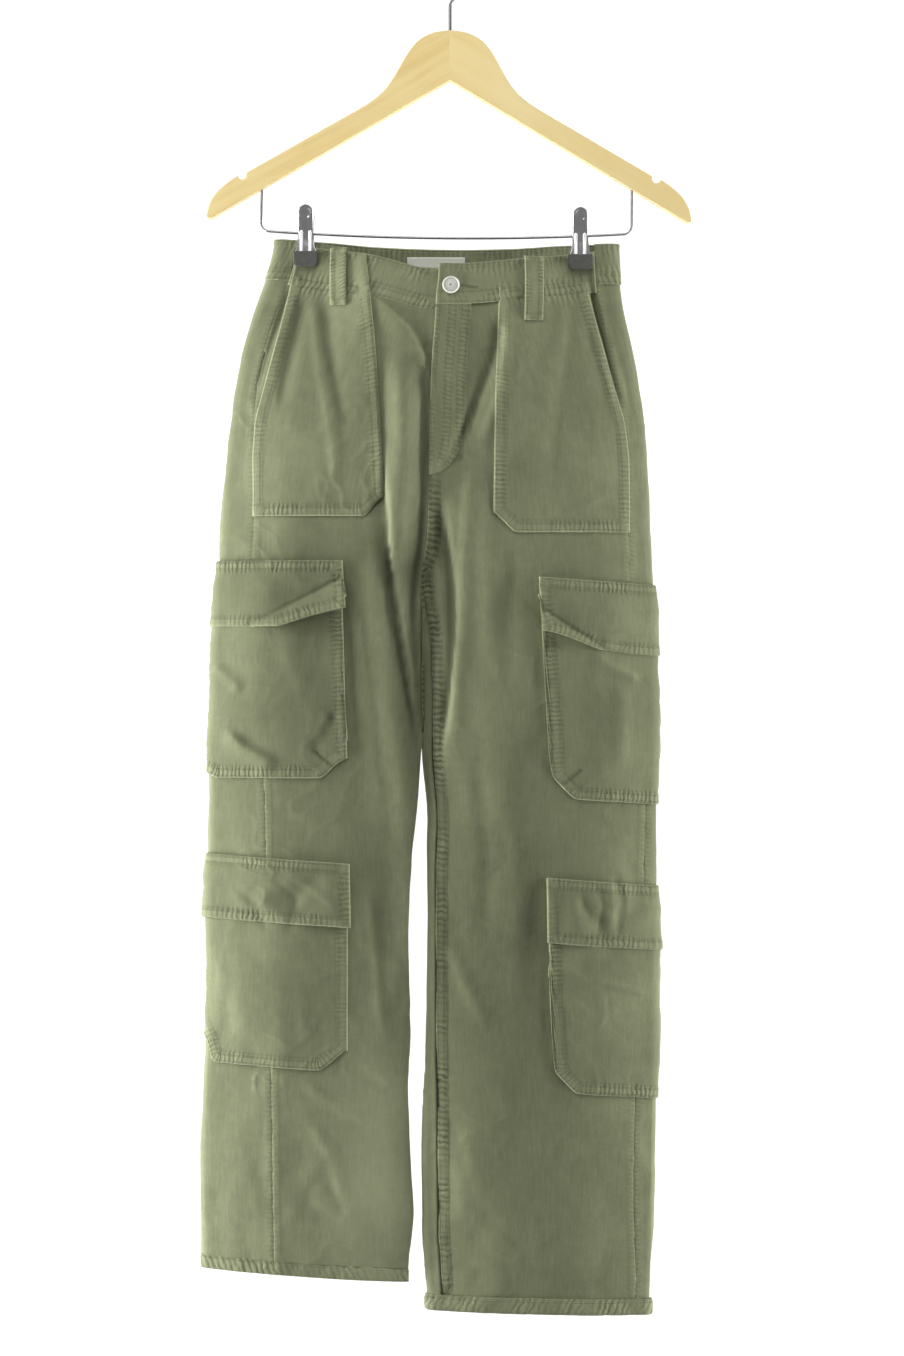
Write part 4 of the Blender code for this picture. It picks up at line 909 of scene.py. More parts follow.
def seam_places(side):
    """Along, at each row of the hang, of the side seam and of the inside seam."""
    ends, hip = edge_ends(*nodes_of(f"front_{side}")), edge_ends(f"front_{side}_hip")
    whole_from = reach(hip, 0, xs_across(hip, 4, 30), 2)[0].max() + 2
    valid = hang_drops[(hang_drops > whole_from) & (hang_drops < ends[..., 2].max() - 16)]
    outer_x, inner_x = reach(ends, 2, valid, 0)[:: -SIDES[side]]
    front = hang[side][1][:, 1]
    outer = np.interp(hang_drops, valid, along_at(side, eased(outer_x, 8, 0), valid))
    gap = np.interp(valid, hang_drops, front) - along_at(side, eased(inner_x, 8, 0), valid)
    inner = front - np.interp(hang_drops, valid, gap)
    behind = INSEAM_BEHIND * steps(hang_drops, 500, 540) if side == "right" else 0.0
    return outer, np.where(inner > front - 1.5, front, inner) + behind


seams_at = {side: seam_places(side) for side in SIDES}


def side_seam(side, drop):
    return np.interp(drop, hang_drops, seams_at[side][0])


def inside_seam(side, drop):
    return np.interp(drop, hang_drops, seams_at[side][1])


def whole_round(side, drop):
    """The length of the cloth all round a leg."""
    return np.interp(drop, hang_drops, hang[side][1].sum(axis=1))


def panel_edges(side, face):
    """X places, and the drops of the panel's top and bottom edges at them."""
    hip = edge_ends(f"{'front' if face > 0 else 'back'}_{side}_hip")
    low, high = (float(x[0]) for x in reach(hip, 2, hip[..., 2].min() + np.array([26.0]), 0))
    top_xs = np.linspace(low + 14, high - 14, 40)
    hip, hem = hip[(hip[:, :, 1] * face < 0).all(axis=1)], edge_ends(f"hem_{side}", facing=face)
    hem_xs = xs_of(f"hem_{side}", 3, 20)
    top, bottom = reach(hip, 0, top_xs, 2)[0], reach(hem, 0, hem_xs, 2)[0]
    return top_xs, eased(top, 3, 0), hem_xs, eased(bottom, 3, 0)


def panel_grid(side, face):
    top_xs, top, hem_xs, bottom = panel_edges(side, face)
    first, last = top.mean(), bottom.mean()
    levels = np.linspace(0, 1, int((last - first) / ROWS_APART))[:, None]
    shares = spaced(PANEL_WIDTH, FINE, COARSE, PANEL_BORDER)[None, :]
    level = first - PANEL_TUCK + (last - first + 2 * PANEL_TUCK) * levels
    drop = level + 0 * shares
    for _ in range(4):
        start, end = side_seam(side, drop) - face * SEAM_UNDER, inside_seam(side, drop)
        if face < 0:
            end = end - whole_round(side, drop)
        along = start + (end - start) * shares
        x = laid(side, along, drop)[0][..., 0]
        near_top = 1 - steps(level - first, 0, TOP_FITTED)
        near_hem = steps(level, last - HEM_FITTED, last)
        drop = level + (np.interp(x, top_xs, top) - first) * near_top
        drop = drop + (np.interp(x, hem_xs, bottom) - last) * near_hem
    return np.stack([along, drop], axis=-1)


for (side, face), seed in PANEL_SEED.items():
    flat = panel_grid(side, face)
    outer_edge, inner_line = flat[:, 0], flat[::6, -1]
    # the inside seam is turned towards the right leg's back and the left leg's front, and sewn there, where its
    # strip is painted darker as shade
    inside = Groove(inner_line, width=6.0, rise=0.0)
    if (side == "right") == (face < 0):
        inside = Seam(
            inner_line, width=10.0, rise=0.6, rows=(2.2, 8.4), pucker=1.5, pitch=5.6, roll=0.8, spread=4.0,
            slant=-0.02, shade=-0.12,
        )
    outside = Groove(outer_edge[::6] + (face * SEAM_UNDER, 0), width=8.0, rise=0.12, pucker=0.5, painted_shadow=0.0)
    seams = [inside, outside]
    if face > 0:
        # the dip behind each hand pocket's mouth is painted dark as the shadow in the open mouth
        seams.append(Groove(line_through(side, POCKET_MOUTHS[side]), width=3.4, rise=1.8, painted_shadow=0.4))

    def tucked(flat, outer_edge=outer_edge):
        to_edge = np.abs(flat[..., 0] - np.interp(flat[..., 1], outer_edge[:, 1], outer_edge[:, 0]))
        return -SEAM_DIP * (1 - steps(to_edge, 0.0, 2.4))

    name = f"{'front' if face > 0 else 'back'}_{side}"
    piece = Cloth(name, side, tucked, seams, seed).made(flat, PANEL_WALL)
    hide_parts(*nodes_of(name + "_"))


# --- Hems ---
# The bottom of each leg is turned up 13 mm and sewn once all round. It shrinks in the wash more than
# the leg does, so it pulls into slanting puckers.
HEM_WALL = 2.0
HEM_TUCK = 0.8
HEM_TALL = 15.0
HEM_OUT, HEM_DIP = 0.5, 0.35
for side, seed in (("right", 500), ("left", 520)):
    xs = xs_of(f"hem_{side}", 3, 20)
    front_edges, back_edges = (reach(edge_ends(f"hem_{side}", facing=face), 0, xs, 2) for face in (1, -1))
    middle_drop = front_edges[0].mean()
    shares = even(whole_round(side, middle_drop), 1.5)[None, :]
    lines = []
    for front_drops, back_drops in zip(front_edges, back_edges):
        drop = np.full(shares.shape, middle_drop)
        for _ in range(3):
            lengths = [np.interp(drop, hang_drops, hang[side][1][:, k]) for k in (0, 1)]
            along = -lengths[0] + (lengths[0] + lengths[1]) * shares
            x = laid(side, along, drop)[0][..., 0]
            blend = steps(along, -4, 4)
            drop = np.interp(x, xs, back_drops) * (1 - blend) + np.interp(x, xs, front_drops) * blend
        lines.append(np.stack([along, drop], axis=-1)[0])
    top, bottom = lines
    down = even(HEM_TALL, 1.1)[:, None, None]
    flat = (top - (0, HEM_TUCK)) * (1 - down) + bottom * down
    fold = Seam(
        bottom[::4], width=12.4, rise=0.25, rows=(10.6,), pucker=1.1, pitch=5.9, roll=0.7, spread=9.0, slant=0.08,
    )

    def hem_out(flat, top=top):
        over = steps(flat[..., 1] - np.interp(flat[..., 0], *top[top[:, 0].argsort()].T), 0.0, 2.6)
        return (HEM_OUT + HEM_DIP) * over - HEM_DIP

    piece = Cloth(f"hem_{side}", side, hem_out, [fold], seed).made(flat, HEM_WALL, ring=True)
    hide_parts(f"hem_{side}")


# --- Waistband ---
# A band 38 mm deep, doubled and stiffened, in three lengths: one over each front and one over the back.
# It is edge-stitched at the top and sewn down twice at the bottom, and it has shrunk into ripples.
BAND_HEIGHT = 38.0
BAND_LENGTH, BACK_LENGTH = 175.0, 370.0
BAND_WALL = 2.0
BAND_OUT = 0.5
BAND_LAP, BAND_UNDER, BAND_SAG = 1.5, 4.0, 7.0  # the left band lies over the end of the right, which sags
# the inside of the back band is painted lighter than the rest of the cloth, as light
BACK_PAINTED_LIGHT = 0.64
BUTTONHOLE = ((10.0, 238.0), (18.0, 239.4), (25.6, 240.2))  # X and drop
PITCH_TOP, PITCH_LOW = 4.9, 5.2


def band_lines(node, facing):
    """X places on one face of a band, with the drops of its top and bottom edges there."""
    xs = xs_of(node, 16, 40)
    return xs, *(eased(edge, 3, 0) for edge in reach(edge_ends(node, facing=facing), 0, xs, 2))


def band_seams(top, bottom, *ends):
    sewn = [
        Seam(top, width=3.4, rise=0.25, rows=(1.6,), pucker=1.2, pitch=PITCH_TOP, spread=18.0),
        Seam(bottom, width=10.4, rise=0.2, rows=(2.0, 8.2), pucker=1.2, pitch=PITCH_LOW, roll=0.5, spread=16.0),
    ]
    return sewn + [Seam(end, width=3.0, rise=0.2, rows=(1.6,), pucker=0.3, roll=0.4) for end in ends]


for side, seed in (("right", 540), ("left", 560)):
    xs, top_drops, bottom_drops = band_lines(f"waistband_{side}", 1)
    shares = even(BAND_LENGTH, 1.5)[None, :]
    down = even(BAND_HEIGHT, 1.25)[:, None]
    drop = top_drops.mean() + BAND_HEIGHT * down + 0 * shares
    for _ in range(4):
        start, end = side_seam(side, drop), inside_seam(side, drop)
        if side == "right":
            end = np.minimum(end + BAND_UNDER, np.interp(drop, hang_drops, hang[side][1][:, 1]) - 1.0)
        along = start + (end - start) * shares
        x = laid(side, along, drop)[0][..., 0]
        drop = np.interp(x, xs, top_drops) * (1 - down) + np.interp(x, xs, bottom_drops) * down
        if side == "right":
            drop = drop + BAND_SAG * steps(x, -82, -14)
    flat = np.stack([along, drop], axis=-1)
    sewn = band_seams(flat[0, ::3], flat[-1, ::3], flat[:, 0], flat[:, -1])
    out = BAND_OUT
    if side == "left":
        out += BAND_LAP
        # the buttonhole's slit is painted dark as its shadow
        sewn.append(Groove(line_through(side, BUTTONHOLE), width=3.2, rise=0.9, pucker=0.2, painted_shadow=0.32))
    piece = Cloth(f"waistband_{side}", side, out, sewn, seed, rumple=0.7).made(flat, BAND_WALL)
    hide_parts(f"waistband_{side}")


def back_reach(side, drop):
    """How far the back's middle lies from the leg's outer edge."""
    return np.interp(drop, hang_drops, hang[side][1][:, 0]) - CENTRE_LAP[side]


def either_half(right, halves):
    """Points and normals of cloth that crosses the middle, from those of each side's half."""
    return [np.where(right[..., None], a, b) for a, b in zip(*halves)]


class BackBand(Cloth):
    """The back of the waistband: its flat places run from the back's middle, to the right below 0."""

    def relief(self, flat):
        rise, fade, reading = sewn_together(self.seams, flat, self.seed)
        lumps = self.rumple * crumple(flat[..., 0], flat[..., 1], self.seed)
        # the inside of the band is painted lighter, as light
        return lumps + rise, {"wear_and_painted_light": BACK_PAINTED_LIGHT + fade, **reading}

    def laid(self, flat, out):
        place, drop = flat[..., 0], flat[..., 1]
        halves = [laid(side, sign * place - back_reach(side, drop), drop, out) for side, sign in SIDES.items()]
        return either_half(place < 0, halves)


xs, top_drops, bottom_drops = band_lines("waistband_back", -1)
shares = even(BACK_LENGTH, 1.6)[None, :]
down = even(BAND_HEIGHT, 1.3)[:, None]
drop = top_drops.mean() + BAND_HEIGHT * down + 0 * shares
unsewn = BackBand("", "", 0.0, [], 580, rumple=0.7)
for _ in range(4):
    start, end = (sign * (back_reach(side, drop) + side_seam(side, drop)) for side, sign in SIDES.items())
    flat = np.stack([start + (end - start) * shares, drop], axis=-1)
    x = unsewn.places(flat)[0][..., 0] / MM
    drop = np.interp(x, xs, top_drops) * (1 - down) + np.interp(x, xs, bottom_drops) * down
flat[..., 1] = drop
sewn = band_seams(flat[0, ::3], flat[-1, ::3])
piece = BackBand("waistband_back", "", BAND_OUT, sewn, 580, rumple=0.7).made(flat, BAND_WALL)
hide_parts("waistband_back")


# --- Fly ---
# The left front laps over the right and hides a zip. Its facing is sewn down in a J, twice.
FLY_WALL = 1.2
FLY_OUT, FLY_EDGE_OUT = 1.3, 0.5
FLY_CURVE = 46.0
FLY_TUCK = 2.0
FLY_WRINKLES = ((0.45, 5, 11, 612), (0.35, 9, 7, 613))  # height, spacing across and down, seed
fly_top, fly_end = drops_of("fly_placket")
fly_low, fly_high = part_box("fly_placket")
fly_width = (fly_high.x - fly_low.x) / MM - 3.0
down, shares, drop = rows_and_columns(fly_top - FLY_TUCK, fly_end, 34.0, 1.5, 1.4)
bend = np.clip((drop - fly_end + FLY_CURVE) / FLY_CURVE, 0, 1)
wide = fly_width * np.sqrt(np.maximum(0.02, 1 - bend * bend))
flat = np.stack([inside_seam("left", drop) - 0.1 - wide * shares, drop], axis=-1)
sewn = [
    Seam(flat[::3, 0], width=3.0, rise=0.3, rows=(1.8,), pucker=0.9, roll=0.6),
    Stitching(flat[::3, -5], width=3.2, rows=(3.1,), pucker=0.9, spread=5.0),
    Stitching(flat[::3, -13], width=3.2, rows=(3.1,), pucker=0.8, spread=4.0),
]
fly_edge = flat[:, -1]


def fly_out(flat):
    u, v = flat[..., 0], flat[..., 1]
    to_edge = u - np.interp(v, fly_edge[:, 1], fly_edge[:, 0])
    wrinkled = sum(height * noise(u / across, v / down, seed) for height, across, down, seed in FLY_WRINKLES)
    flat_out = FLY_EDGE_OUT + (FLY_OUT - FLY_EDGE_OUT) * steps(to_edge, 0.0, 3.0)
    return flat_out + wrinkled * steps(to_edge, 0.0, 8.0)


piece = Cloth("fly_placket", "left", fly_out, sewn, 600).made(flat, FLY_WALL)
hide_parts("fly_placket")


# --- Patch pockets ---
# One large patch on each front, let into the waistband and the side seam. The hand goes in at the
# slanted edge, and the other edges are sewn down twice.
PATCH_WALL = 1.1
PATCH_OUT = 2.0
PATCH_CORNERS = {"right": 19.0, "left": 20.0}
PATCH_WIDTH = 115.0
PATCH_BAND = 37.0  # the depth of the patch that lies over the waistband
for side, seed in (("right", 640), ("left", 660)):
    node = f"patch_pocket_{side}"
    top, bottom = drops_of(node)
    ends = edge_ends(node)
    drops = np.arange(top + 22, bottom - PATCH_CORNERS[side] - 4, 6.0)
    outer_xs, inner_xs = reach(ends, 2, drops, 0)[:: -SIDES[side]]
    xs = xs_of(node, 1.5, 50)
    bottom_drops = reach(ends, 0, xs, 2)[1]
    band_xs, band_drops, _ = band_lines(f"waistband_{side}", 1)
    down, shares, drop = rows_and_columns(top, bottom, PATCH_WIDTH, 1.9, 1.8)
    inner_line = np.polyfit(drops[:-2], inner_xs[:-2], 2)
    outer_top = np.polyfit(drops[:8], outer_xs[:8], 1)
    for _ in range(6):
        outer_x = np.where(drop < drops[0], np.polyval(outer_top, drop), np.interp(drop, drops, outer_xs))
        inner_x = np.polyval(inner_line, np.minimum(drop, drops[-1]))
        x = outer_x + (inner_x - outer_x) * shares
        drop = np.interp(x, band_xs, band_drops) * (1 - down) + np.interp(x, xs, bottom_drops) * down
    flat = np.stack([along_at(side, x, drop), drop], axis=-1)
    middle_drops = flat[:, flat.shape[1] // 2, 1]
    over_band = np.argmin(np.abs(middle_drops - middle_drops[0] - PATCH_BAND))
    lower_edge = np.concatenate([flat[over_band::3, -1], flat[-1, ::-3]])
    sewn = [
        Seam(flat[over_band::3, 0], width=9.5, rise=0.35, rows=(2.0, 8.2), pucker=0.8),
        Seam(lower_edge, width=9.5, rise=0.35, rows=(1.8, 8.0)),
        Seam(flat[0, ::3], width=3.4, rise=0.2, rows=(1.6,), pucker=1.2, pitch=PITCH_TOP, spread=14.0),
        Stitching(flat[0, ::3] + (0, 33.5), width=3.4, rows=(3.1,), pucker=1.2, pitch=PITCH_LOW, spread=14.0),
    ]
    for column in (0, -1):
        edge = flat[: over_band - 3 : 3, column]
        sewn.append(Seam(edge, width=2.4, rise=0.1, rows=(1.8,), pucker=0.3, roll=0.5))
    piece = Cloth(node, side, PATCH_OUT, sewn, seed).made(flat, PATCH_WALL)
    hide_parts(node)


# --- Cargo pockets and flaps ---
# Two pockets on each leg sit over the side seam and wrap round to the back. Each is a patch with cut
# corners, sewn down twice, under a doubled flap that is sewn along its top and edge-stitched round.
POCKET_WALL = 1.1
FLAP_WALL = 1.6
POCKET_OUT = 2.2
POCKET_PUFF, POCKET_RUMPLE = 2.6, 0.8
FLAP_OUT = 2.6
FLAP_LIFT, FLAP_FLARE = 2.4, 1.6
LIMP, LIMP_TURNED_UP = 1.5, 0.8
CARGO = (
    # name, seed, and how far below their tops the pocket's and the flap's front edges are straight,
    # then the crease of a turned-up corner with its slope, and the dart at the pocket's lower corner
    ("upper_right", 700, (40, 160), (4, 38), ((-97, 508), (-176, 549)), 0.62, ((-106.5, 684), (-126, 668))),
    ("upper_left", 720, (40, 160), (4, 38), ((83, 536), (130, 567)), 0.55, ((104.5, 700), (122, 686))),
    ("lower_right", 740, (40, 150), (15, 58), None, 0.0, None),
    ("lower_left", 760, (50, 110), (4, 48), None, 0.0, None),
)


def pocket_grid(node, side, straight, pitch):
    """Flat places over a pocket or flap, from its front edge round the leg to its back edge."""
    top, bottom = drops_of(node)
    drops = np.arange(top + straight[0], top + straight[1], 2.0)
    sides, found = [], []
    for facing in (1, -1):
        part = edge_ends(node, facing=facing)
        sides.append(np.polyfit(drops, reach(part, 2, drops, 0)[1 if side == "right" else 0], 1))
        xs = xs_across(part, 1.0, 50)
        first, last = reach(part, 0, xs, 2)
        spots = along_at(side, xs, (first + last) / 2, facing)
        found.append(np.stack([spots, first, last])[:, np.abs(spots) > 6])
    found = np.concatenate(found, axis=1)
    places, tops, bottoms = found[:, found[0].argsort()]
    if node.startswith("cargo"):
        bottoms = eased(bottoms, 2, 0)
    down, shares, drop = rows_and_columns(top, bottom, places[-1] - places[0], pitch)
    for _ in range(6):
        start, end = (
            along_at(side, np.polyval(line, drop), drop, facing) for line, facing in zip(sides, (1, -1))
        )
        along = start + (end - start) * shares
        drop = np.interp(along, places, tops) * (1 - down) + np.interp(along, places, bottoms) * down
    return np.stack([along, drop], axis=-1)


def by_place(line):
    """A line across the cloth as its places along, in rising order, and its drops."""
    return line[line[:, 0].argsort()].T


def turned_up(flat, side, crease, slope):
    """How far a flap's front corner stands out where it has turned up below a crease."""
    x, drop = laid(side, flat[..., 0], flat[..., 1])[0][..., 0], flat[..., 1]
    start, end = np.array(crease, float)
    run = (end - start) / np.hypot(*(end - start))
    in_front = flat[..., 0] > 0
    below = (drop - start[1]) * abs(run[0]) - (x - start[0]) * run[1] * np.sign(run[0])
    below = np.where(in_front, below, 0)
    lifted = slope * (np.sqrt(np.clip(below, 0, None) ** 2 + 4.0) - 2.0)
    return lifted - 0.9 * np.exp(-((below / 2.2) ** 2)) * in_front


for name, seed, pocket_straight, flap_straight, crease, slope, dart in CARGO:
    side = name.split("_")[1]
    flat = pocket_grid(f"cargo_pocket_{name}", side, pocket_straight, 1.9)
    border = np.concatenate([flat[::3, 0], flat[-1, ::3], flat[::-3, -1]])

    def pocket_out(flat, border=border, seed=seed, mouth=by_place(flat[0])):
        below_mouth = flat[..., 1] - np.interp(flat[..., 0], *mouth)
        inside = steps(beside(flat, border)[0], 6.0, 45.0) * steps(below_mouth, 10.0, 45.0)
        return POCKET_OUT + (POCKET_PUFF + POCKET_RUMPLE * crumple(flat[..., 0], flat[..., 1], seed)) * inside

    sewn = [Seam(border, width=9.6, rise=0.35, rows=(1.8, 8.0))]
    if dart:
        # the dart's fold is painted dark as its shadow
        sewn.append(Groove(line_through(side, dart), width=3.0, rise=1.2, pucker=0.3, painted_shadow=0.3))
    piece = Cloth(f"cargo_pocket_{name}", side, pocket_out, sewn, seed).made(flat, POCKET_WALL)
    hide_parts(f"cargo_pocket_{name}")

    flat = pocket_grid(f"flap_{name}", side, flap_straight, 1.6)
    rim = np.concatenate([flat[::3, 0], flat[-1, ::3], flat[::-3, -1]])

    def flap_out(
        flat, side=side, ends=(by_place(flat[0]), by_place(flat[-1])), crease=crease, slope=slope, seed=seed,
    ):
        u, v = flat[..., 0], flat[..., 1]
        first, last = (np.interp(u, *end) for end in ends)
        down = np.clip((v - first) / (last - first), 0, 1)
        out = FLAP_OUT + FLAP_LIFT * steps(down, 0.02, 0.4) + FLAP_FLARE * down * down
        bend = 0.8 * noise(u / 30, v / 26, seed + 1)
        limp = noise(u / 24 + bend, v / 38 - 1.5 * bend, seed + 2)
        limp = (LIMP_TURNED_UP if crease else LIMP) * limp * steps(down, 0.1, 0.4)
        out = out + limp * (1 - 0.5 * steps(down, 0.8, 1.0))
        return out + turned_up(flat, side, crease, slope) if crease else out

    sewn = [
        Seam(flat[0, ::3], width=8.6, rise=0.3, rows=(1.6, 7.4), pucker=1.1),
        Seam(rim, width=8.8, rise=0.3, rows=(7.6,), pucker=0.9, pitch=4.8, roll=1.1),
    ]
    piece = Cloth(f"flap_{name}", side, flap_out, sewn, seed + 10).made(flat, FLAP_WALL)
    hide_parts(f"flap_{name}")


# --- Belt loops ---
# Folded strips with a row of thread along each edge, tacked down at both ends over the waistband.
LOOP_WALL = 1.1
LOOP_WIDTH = 15.5
LOOP_OUT = {1: 3.6, -1: 2.0}  # in front, where they lie over the patch pockets too, and behind
LOOP_ARCH = 2.2
fly_middle = (fly_low.x + fly_high.x) / 2
for number, name in enumerate(nodes_of("belt_loop_")):
    low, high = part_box(name)
    facing = 1 if low.y + high.y < 0 else -1
    side = "left" if (low.x + high.x) / 2 > fly_middle else "right"
    top, bottom = drops_of(name)
    down, shares, drop = rows_and_columns(top, bottom, LOOP_WIDTH, 1.2, 1.1)
    x = (low.x + (high.x - low.x) * shares) / MM + 0 * drop
    flat = np.stack([along_at(side, x, drop, facing), drop], axis=-1)

    def loop_out(flat, top=top, bottom=bottom, base=LOOP_OUT[facing]):
        down = np.clip((flat[..., 1] - top) / (bottom - top), 0, 1)
        return base + LOOP_ARCH * np.sin(math.pi * down) ** 0.7

    edges = [
        Seam(flat[::2, column], width=4.0, rise=0.45, rows=(2.6,), pucker=1.3, pitch=3.6, roll=1.1)
        for column in (0, -1)
    ]
    ends = [Seam(flat[row], width=4.6, rise=0.6, rows=(1.4, 3.4), pucker=0.6, pitch=2.4) for row in (0, -1)]
    piece = Cloth(name, side, loop_out, edges + ends, 800 + 20 * number, rumple=0.4).made(flat, LOOP_WALL)
    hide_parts(name)


# --- Label ---
# A bare tape of pale cotton on the inside of the back band. Its ends are turned under, and it is sewn
# down all round with one row of thread.
TAPE_DARK = (0.74, 0.76, 0.67)
TAPE_PALE = (0.95, 0.96, 0.87)
TAPE_PITCH = 0.6
LABEL_WIDE = 54.0
LABEL_WALL = 0.6
LABEL_DEPTH_IN = 3.0
tape, tree, shader = principled("pale_tape", 0.85, Sheen_Weight=0.1)
flat_map = linked("ShaderNodeUVMap", {"uv_map": "cloth"}).outputs[0]
turns = scaled(maths("PINGPONG", read("run"), 1.2), 0.8)
thread = maths("MULTIPLY", within(read("row_near"), 0.2, 0.3), turns)
threads = [
    linked(
        "ShaderNodeTexWave", {"bands_direction": way}, Vector=flat_map, Scale=BANDS_TO_METRE / TAPE_PITCH,
        Distortion=0.4,
    ).outputs["Fac"]
    for way in ("X", "Y")
]
coloured(
    summed((speckle(flat_map, 60.0, 3.0), 0.5, 0.5), (speckle(flat_map, 1200.0), 0.3), (thread, 0.4)),
    (0.0, TAPE_DARK), (1.0, TAPE_PALE),
)
bumped(summed((maths("MAXIMUM", *threads), 0.08), (thread, 0.15)))
back_middle = sum(hang[side][0][:30, 0, 0].mean() for side in SIDES) / 2


class Tape(Cloth):
    """Cloth on the inside of the back. Its flat places are X and drop."""

    def relief(self, flat):
        rise, fade, reading = sewn_together(self.seams, flat, self.seed)
        return rise, {"wear_and_painted_light": 0.5 + fade, **reading}

    def laid(self, flat, out):
        x, drop = flat[..., 0], flat[..., 1]
        halves = [laid(side, along_at(side, x, drop, -1), drop, out) for side in SIDES]
        points, normals = either_half(x < back_middle, halves)
        points[..., 1] = eased(eased(points[..., 1], 30, 1), 6, 0)
        return points, normals


down, shares, drop = rows_and_columns(*drops_of("label"), LABEL_WIDE, 1.2)
flat = np.stack([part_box("label")[0].x / MM + LABEL_WIDE * shares + 0 * drop, drop], axis=-1)
border = np.concatenate([flat[::2, 0], flat[-1, ::2], flat[::-2, -1], flat[0, ::-2]])
sewn = [Seam(border, width=2.2, rise=-0.2, rows=(1.5,), pucker=0.5, pitch=2.6, roll=-0.2, spread=3.0)]
piece = Tape("label", "right", -LABEL_DEPTH_IN, sewn, 610).made(flat, LABEL_WALL)
piece.data.materials[0] = tape
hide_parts("label")


# --- Button ---
# A cast metal button with a raised rim, a flat face and a small hollow in its middle. It is riveted
# through the band. Its pale colour is darker in the middle hollow and in a ring inside the rim, and lighter on the
# rim.
METAL_DARK = (0.34, 0.35, 0.30)
METAL_PALE = (0.93, 0.94, 0.84)
BUTTON_HEIGHT = 3.2
BUTTON_STEPS = 72
BUTTON_EASING = 0.25
BUTTON_PROFILE = (
    # distance from the middle, height
    (0.0, 2.2), (0.7, 2.25), (1.3, 2.6), (2.2, 2.75), (3.0, 2.5), (3.6, 2.42), (5.6, 2.4), (6.4, 2.46), (6.9, 2.8),
    (7.4, 3.0), (7.8, 2.85), (8.1, 2.4), (7.9, 1.8), (7.2, 1.4), (4.5, 1.2), (4.0, 0.6), (4.0, -0.6), (0.0, -0.6),
)
low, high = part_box("button")
middle = (low + high) / 2
metal, tree, shader = principled("button_metal", 0.5, 0.15)
place = linked("ShaderNodeTexCoord").outputs["Object"]
centred = linked("ShaderNodeVectorMath", {"operation": "SUBTRACT"}, _0=place, _1=tuple(middle))
apart = linked("ShaderNodeSeparateXYZ", Vector=centred.outputs[0])
squares = (maths("POWER", maths("ABSOLUTE", apart.outputs[axis]), 2.0) for axis in ("X", "Z"))
millimetres = scaled(maths("SQRT", maths("ADD", *squares)), 1000.0)
turned_lines = maths("SINE", scaled(millimetres, 9.0))
darker_ring, bright_rim = (scaled(millimetres, 1.0, -radius) for radius in (5.9, 7.4))
coloured(
    summed(
        (speckle(place, 900.0, 4.0, 0.7), 0.5, 0.55), (turned_lines, 0.02), (within(darker_ring, 0.2, 0.6), -0.3),
        (within(millimetres, 0.5, 0.9), -0.7), (within(bright_rim, 0.3, 0.5), 0.3),
    ),
    (0.0, METAL_DARK), (1.0, METAL_PALE),
)
bumped(summed((speckle(place, 1500.0, 3.0), 0.1), (turned_lines, 0.01)))

bm = bmesh.new()
line = [bm.verts.new((radius * MM, 0.0, height * MM)) for radius, height in BUTTON_PROFILE]
for pair in zip(line, line[1:]):
    bm.edges.new(pair)
bmesh.ops.bevel(
    bm, geom=line[3:12], affect="VERTICES", offset=BUTTON_EASING * MM, segments=2, profile=0.5, material=-1,
)
bmesh.ops.spin(
    bm, geom=bm.verts[:] + bm.edges[:], axis=(0, 0, 1), cent=(0, 0, 0), steps=BUTTON_STEPS, angle=2 * math.pi,
    use_merge=True,
)
bmesh.ops.remove_doubles(bm, verts=bm.verts, dist=0.00001)
bmesh.ops.recalc_face_normals(bm, faces=bm.faces)
button_drop = np.array([(WOOD_TOP - middle.z) / MM])
button_along = along_at("left", np.array([middle.x / MM]), button_drop)
facing = Vector(laid("left", button_along, button_drop)[1][0] * (1, 1, -1))
turn = facing.to_track_quat("Z", "X").to_matrix().to_4x4()
foot = Vector((middle.x, low.y, middle.z)) - facing * BUTTON_HEIGHT * MM
bm.transform(Matrix.Translation(foot) @ turn)
piece = finished("button", bm, metal)
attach(piece, "root")
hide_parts("button")


# --- Hanger wood ---
# Two arms of pale wood, each with its grain along it, are glued at the middle and shaped as one: a hump
# for the hook, a slot for straps near each end, and every edge rounded over. It has a thin clear lacquer.
WOOD_DARK = (0.72, 0.49, 0.17)
WOOD_MIDDLE = (0.88, 0.69, 0.31)
WOOD_PALE = (0.95, 0.79, 0.42)
WOOD_THICKNESS = 12.0
WOOD_ROUND = 2.2
WOOD_LEAN = math.radians(0.5)
WOOD_SHIFT = 0.9
WOOD_HUMP = (
    (0.0, 0.0), (15.0, 2.2), (28.0, 8.4), (37.0, 18.0), (45.0, 31.0), (52.0, 43.5), (60.0, 55.0), (70.0, 64.5),
    (84.0, 73.8), (120.0, 94.5), (158.0, 116.5), (186.0, 132.6),
)
WOOD_SLOT = (
    (188.6, 134.2), (188.3, 136.2), (188.9, 138.3), (190.4, 139.9), (192.6, 140.4), (194.7, 139.7), (196.0, 138.0),
    (196.5, 136.9),
)
WOOD_TIP = (
    (197.5, 137.6), (206.0, 143.5), (216.0, 152.5), (222.0, 162.0), (225.0, 172.0), (224.6, 176.4), (220.5, 176.4),
)
WOOD_UNDERSIDE = 46.5
ARM_SLOPE = math.radians(30.0)


def rounded(points, parts=4):
    """A smooth line through the points."""
    points = [np.array(p, float) for p in points]
    points = [2 * points[0] - points[1], *points, 2 * points[-1] - points[-2]]
    found = []
    for before, start, end, after in zip(points, points[1:], points[2:], points[3:]):
        for i in range(parts):
            t = i / parts
            bend = -before + 3 * start - 3 * end + after
            turn = 2 * before - 5 * start + 4 * end - after + t * bend
            found.append(start + 0.5 * t * ((end - before) + t * turn))
    return found + [points[-2]]


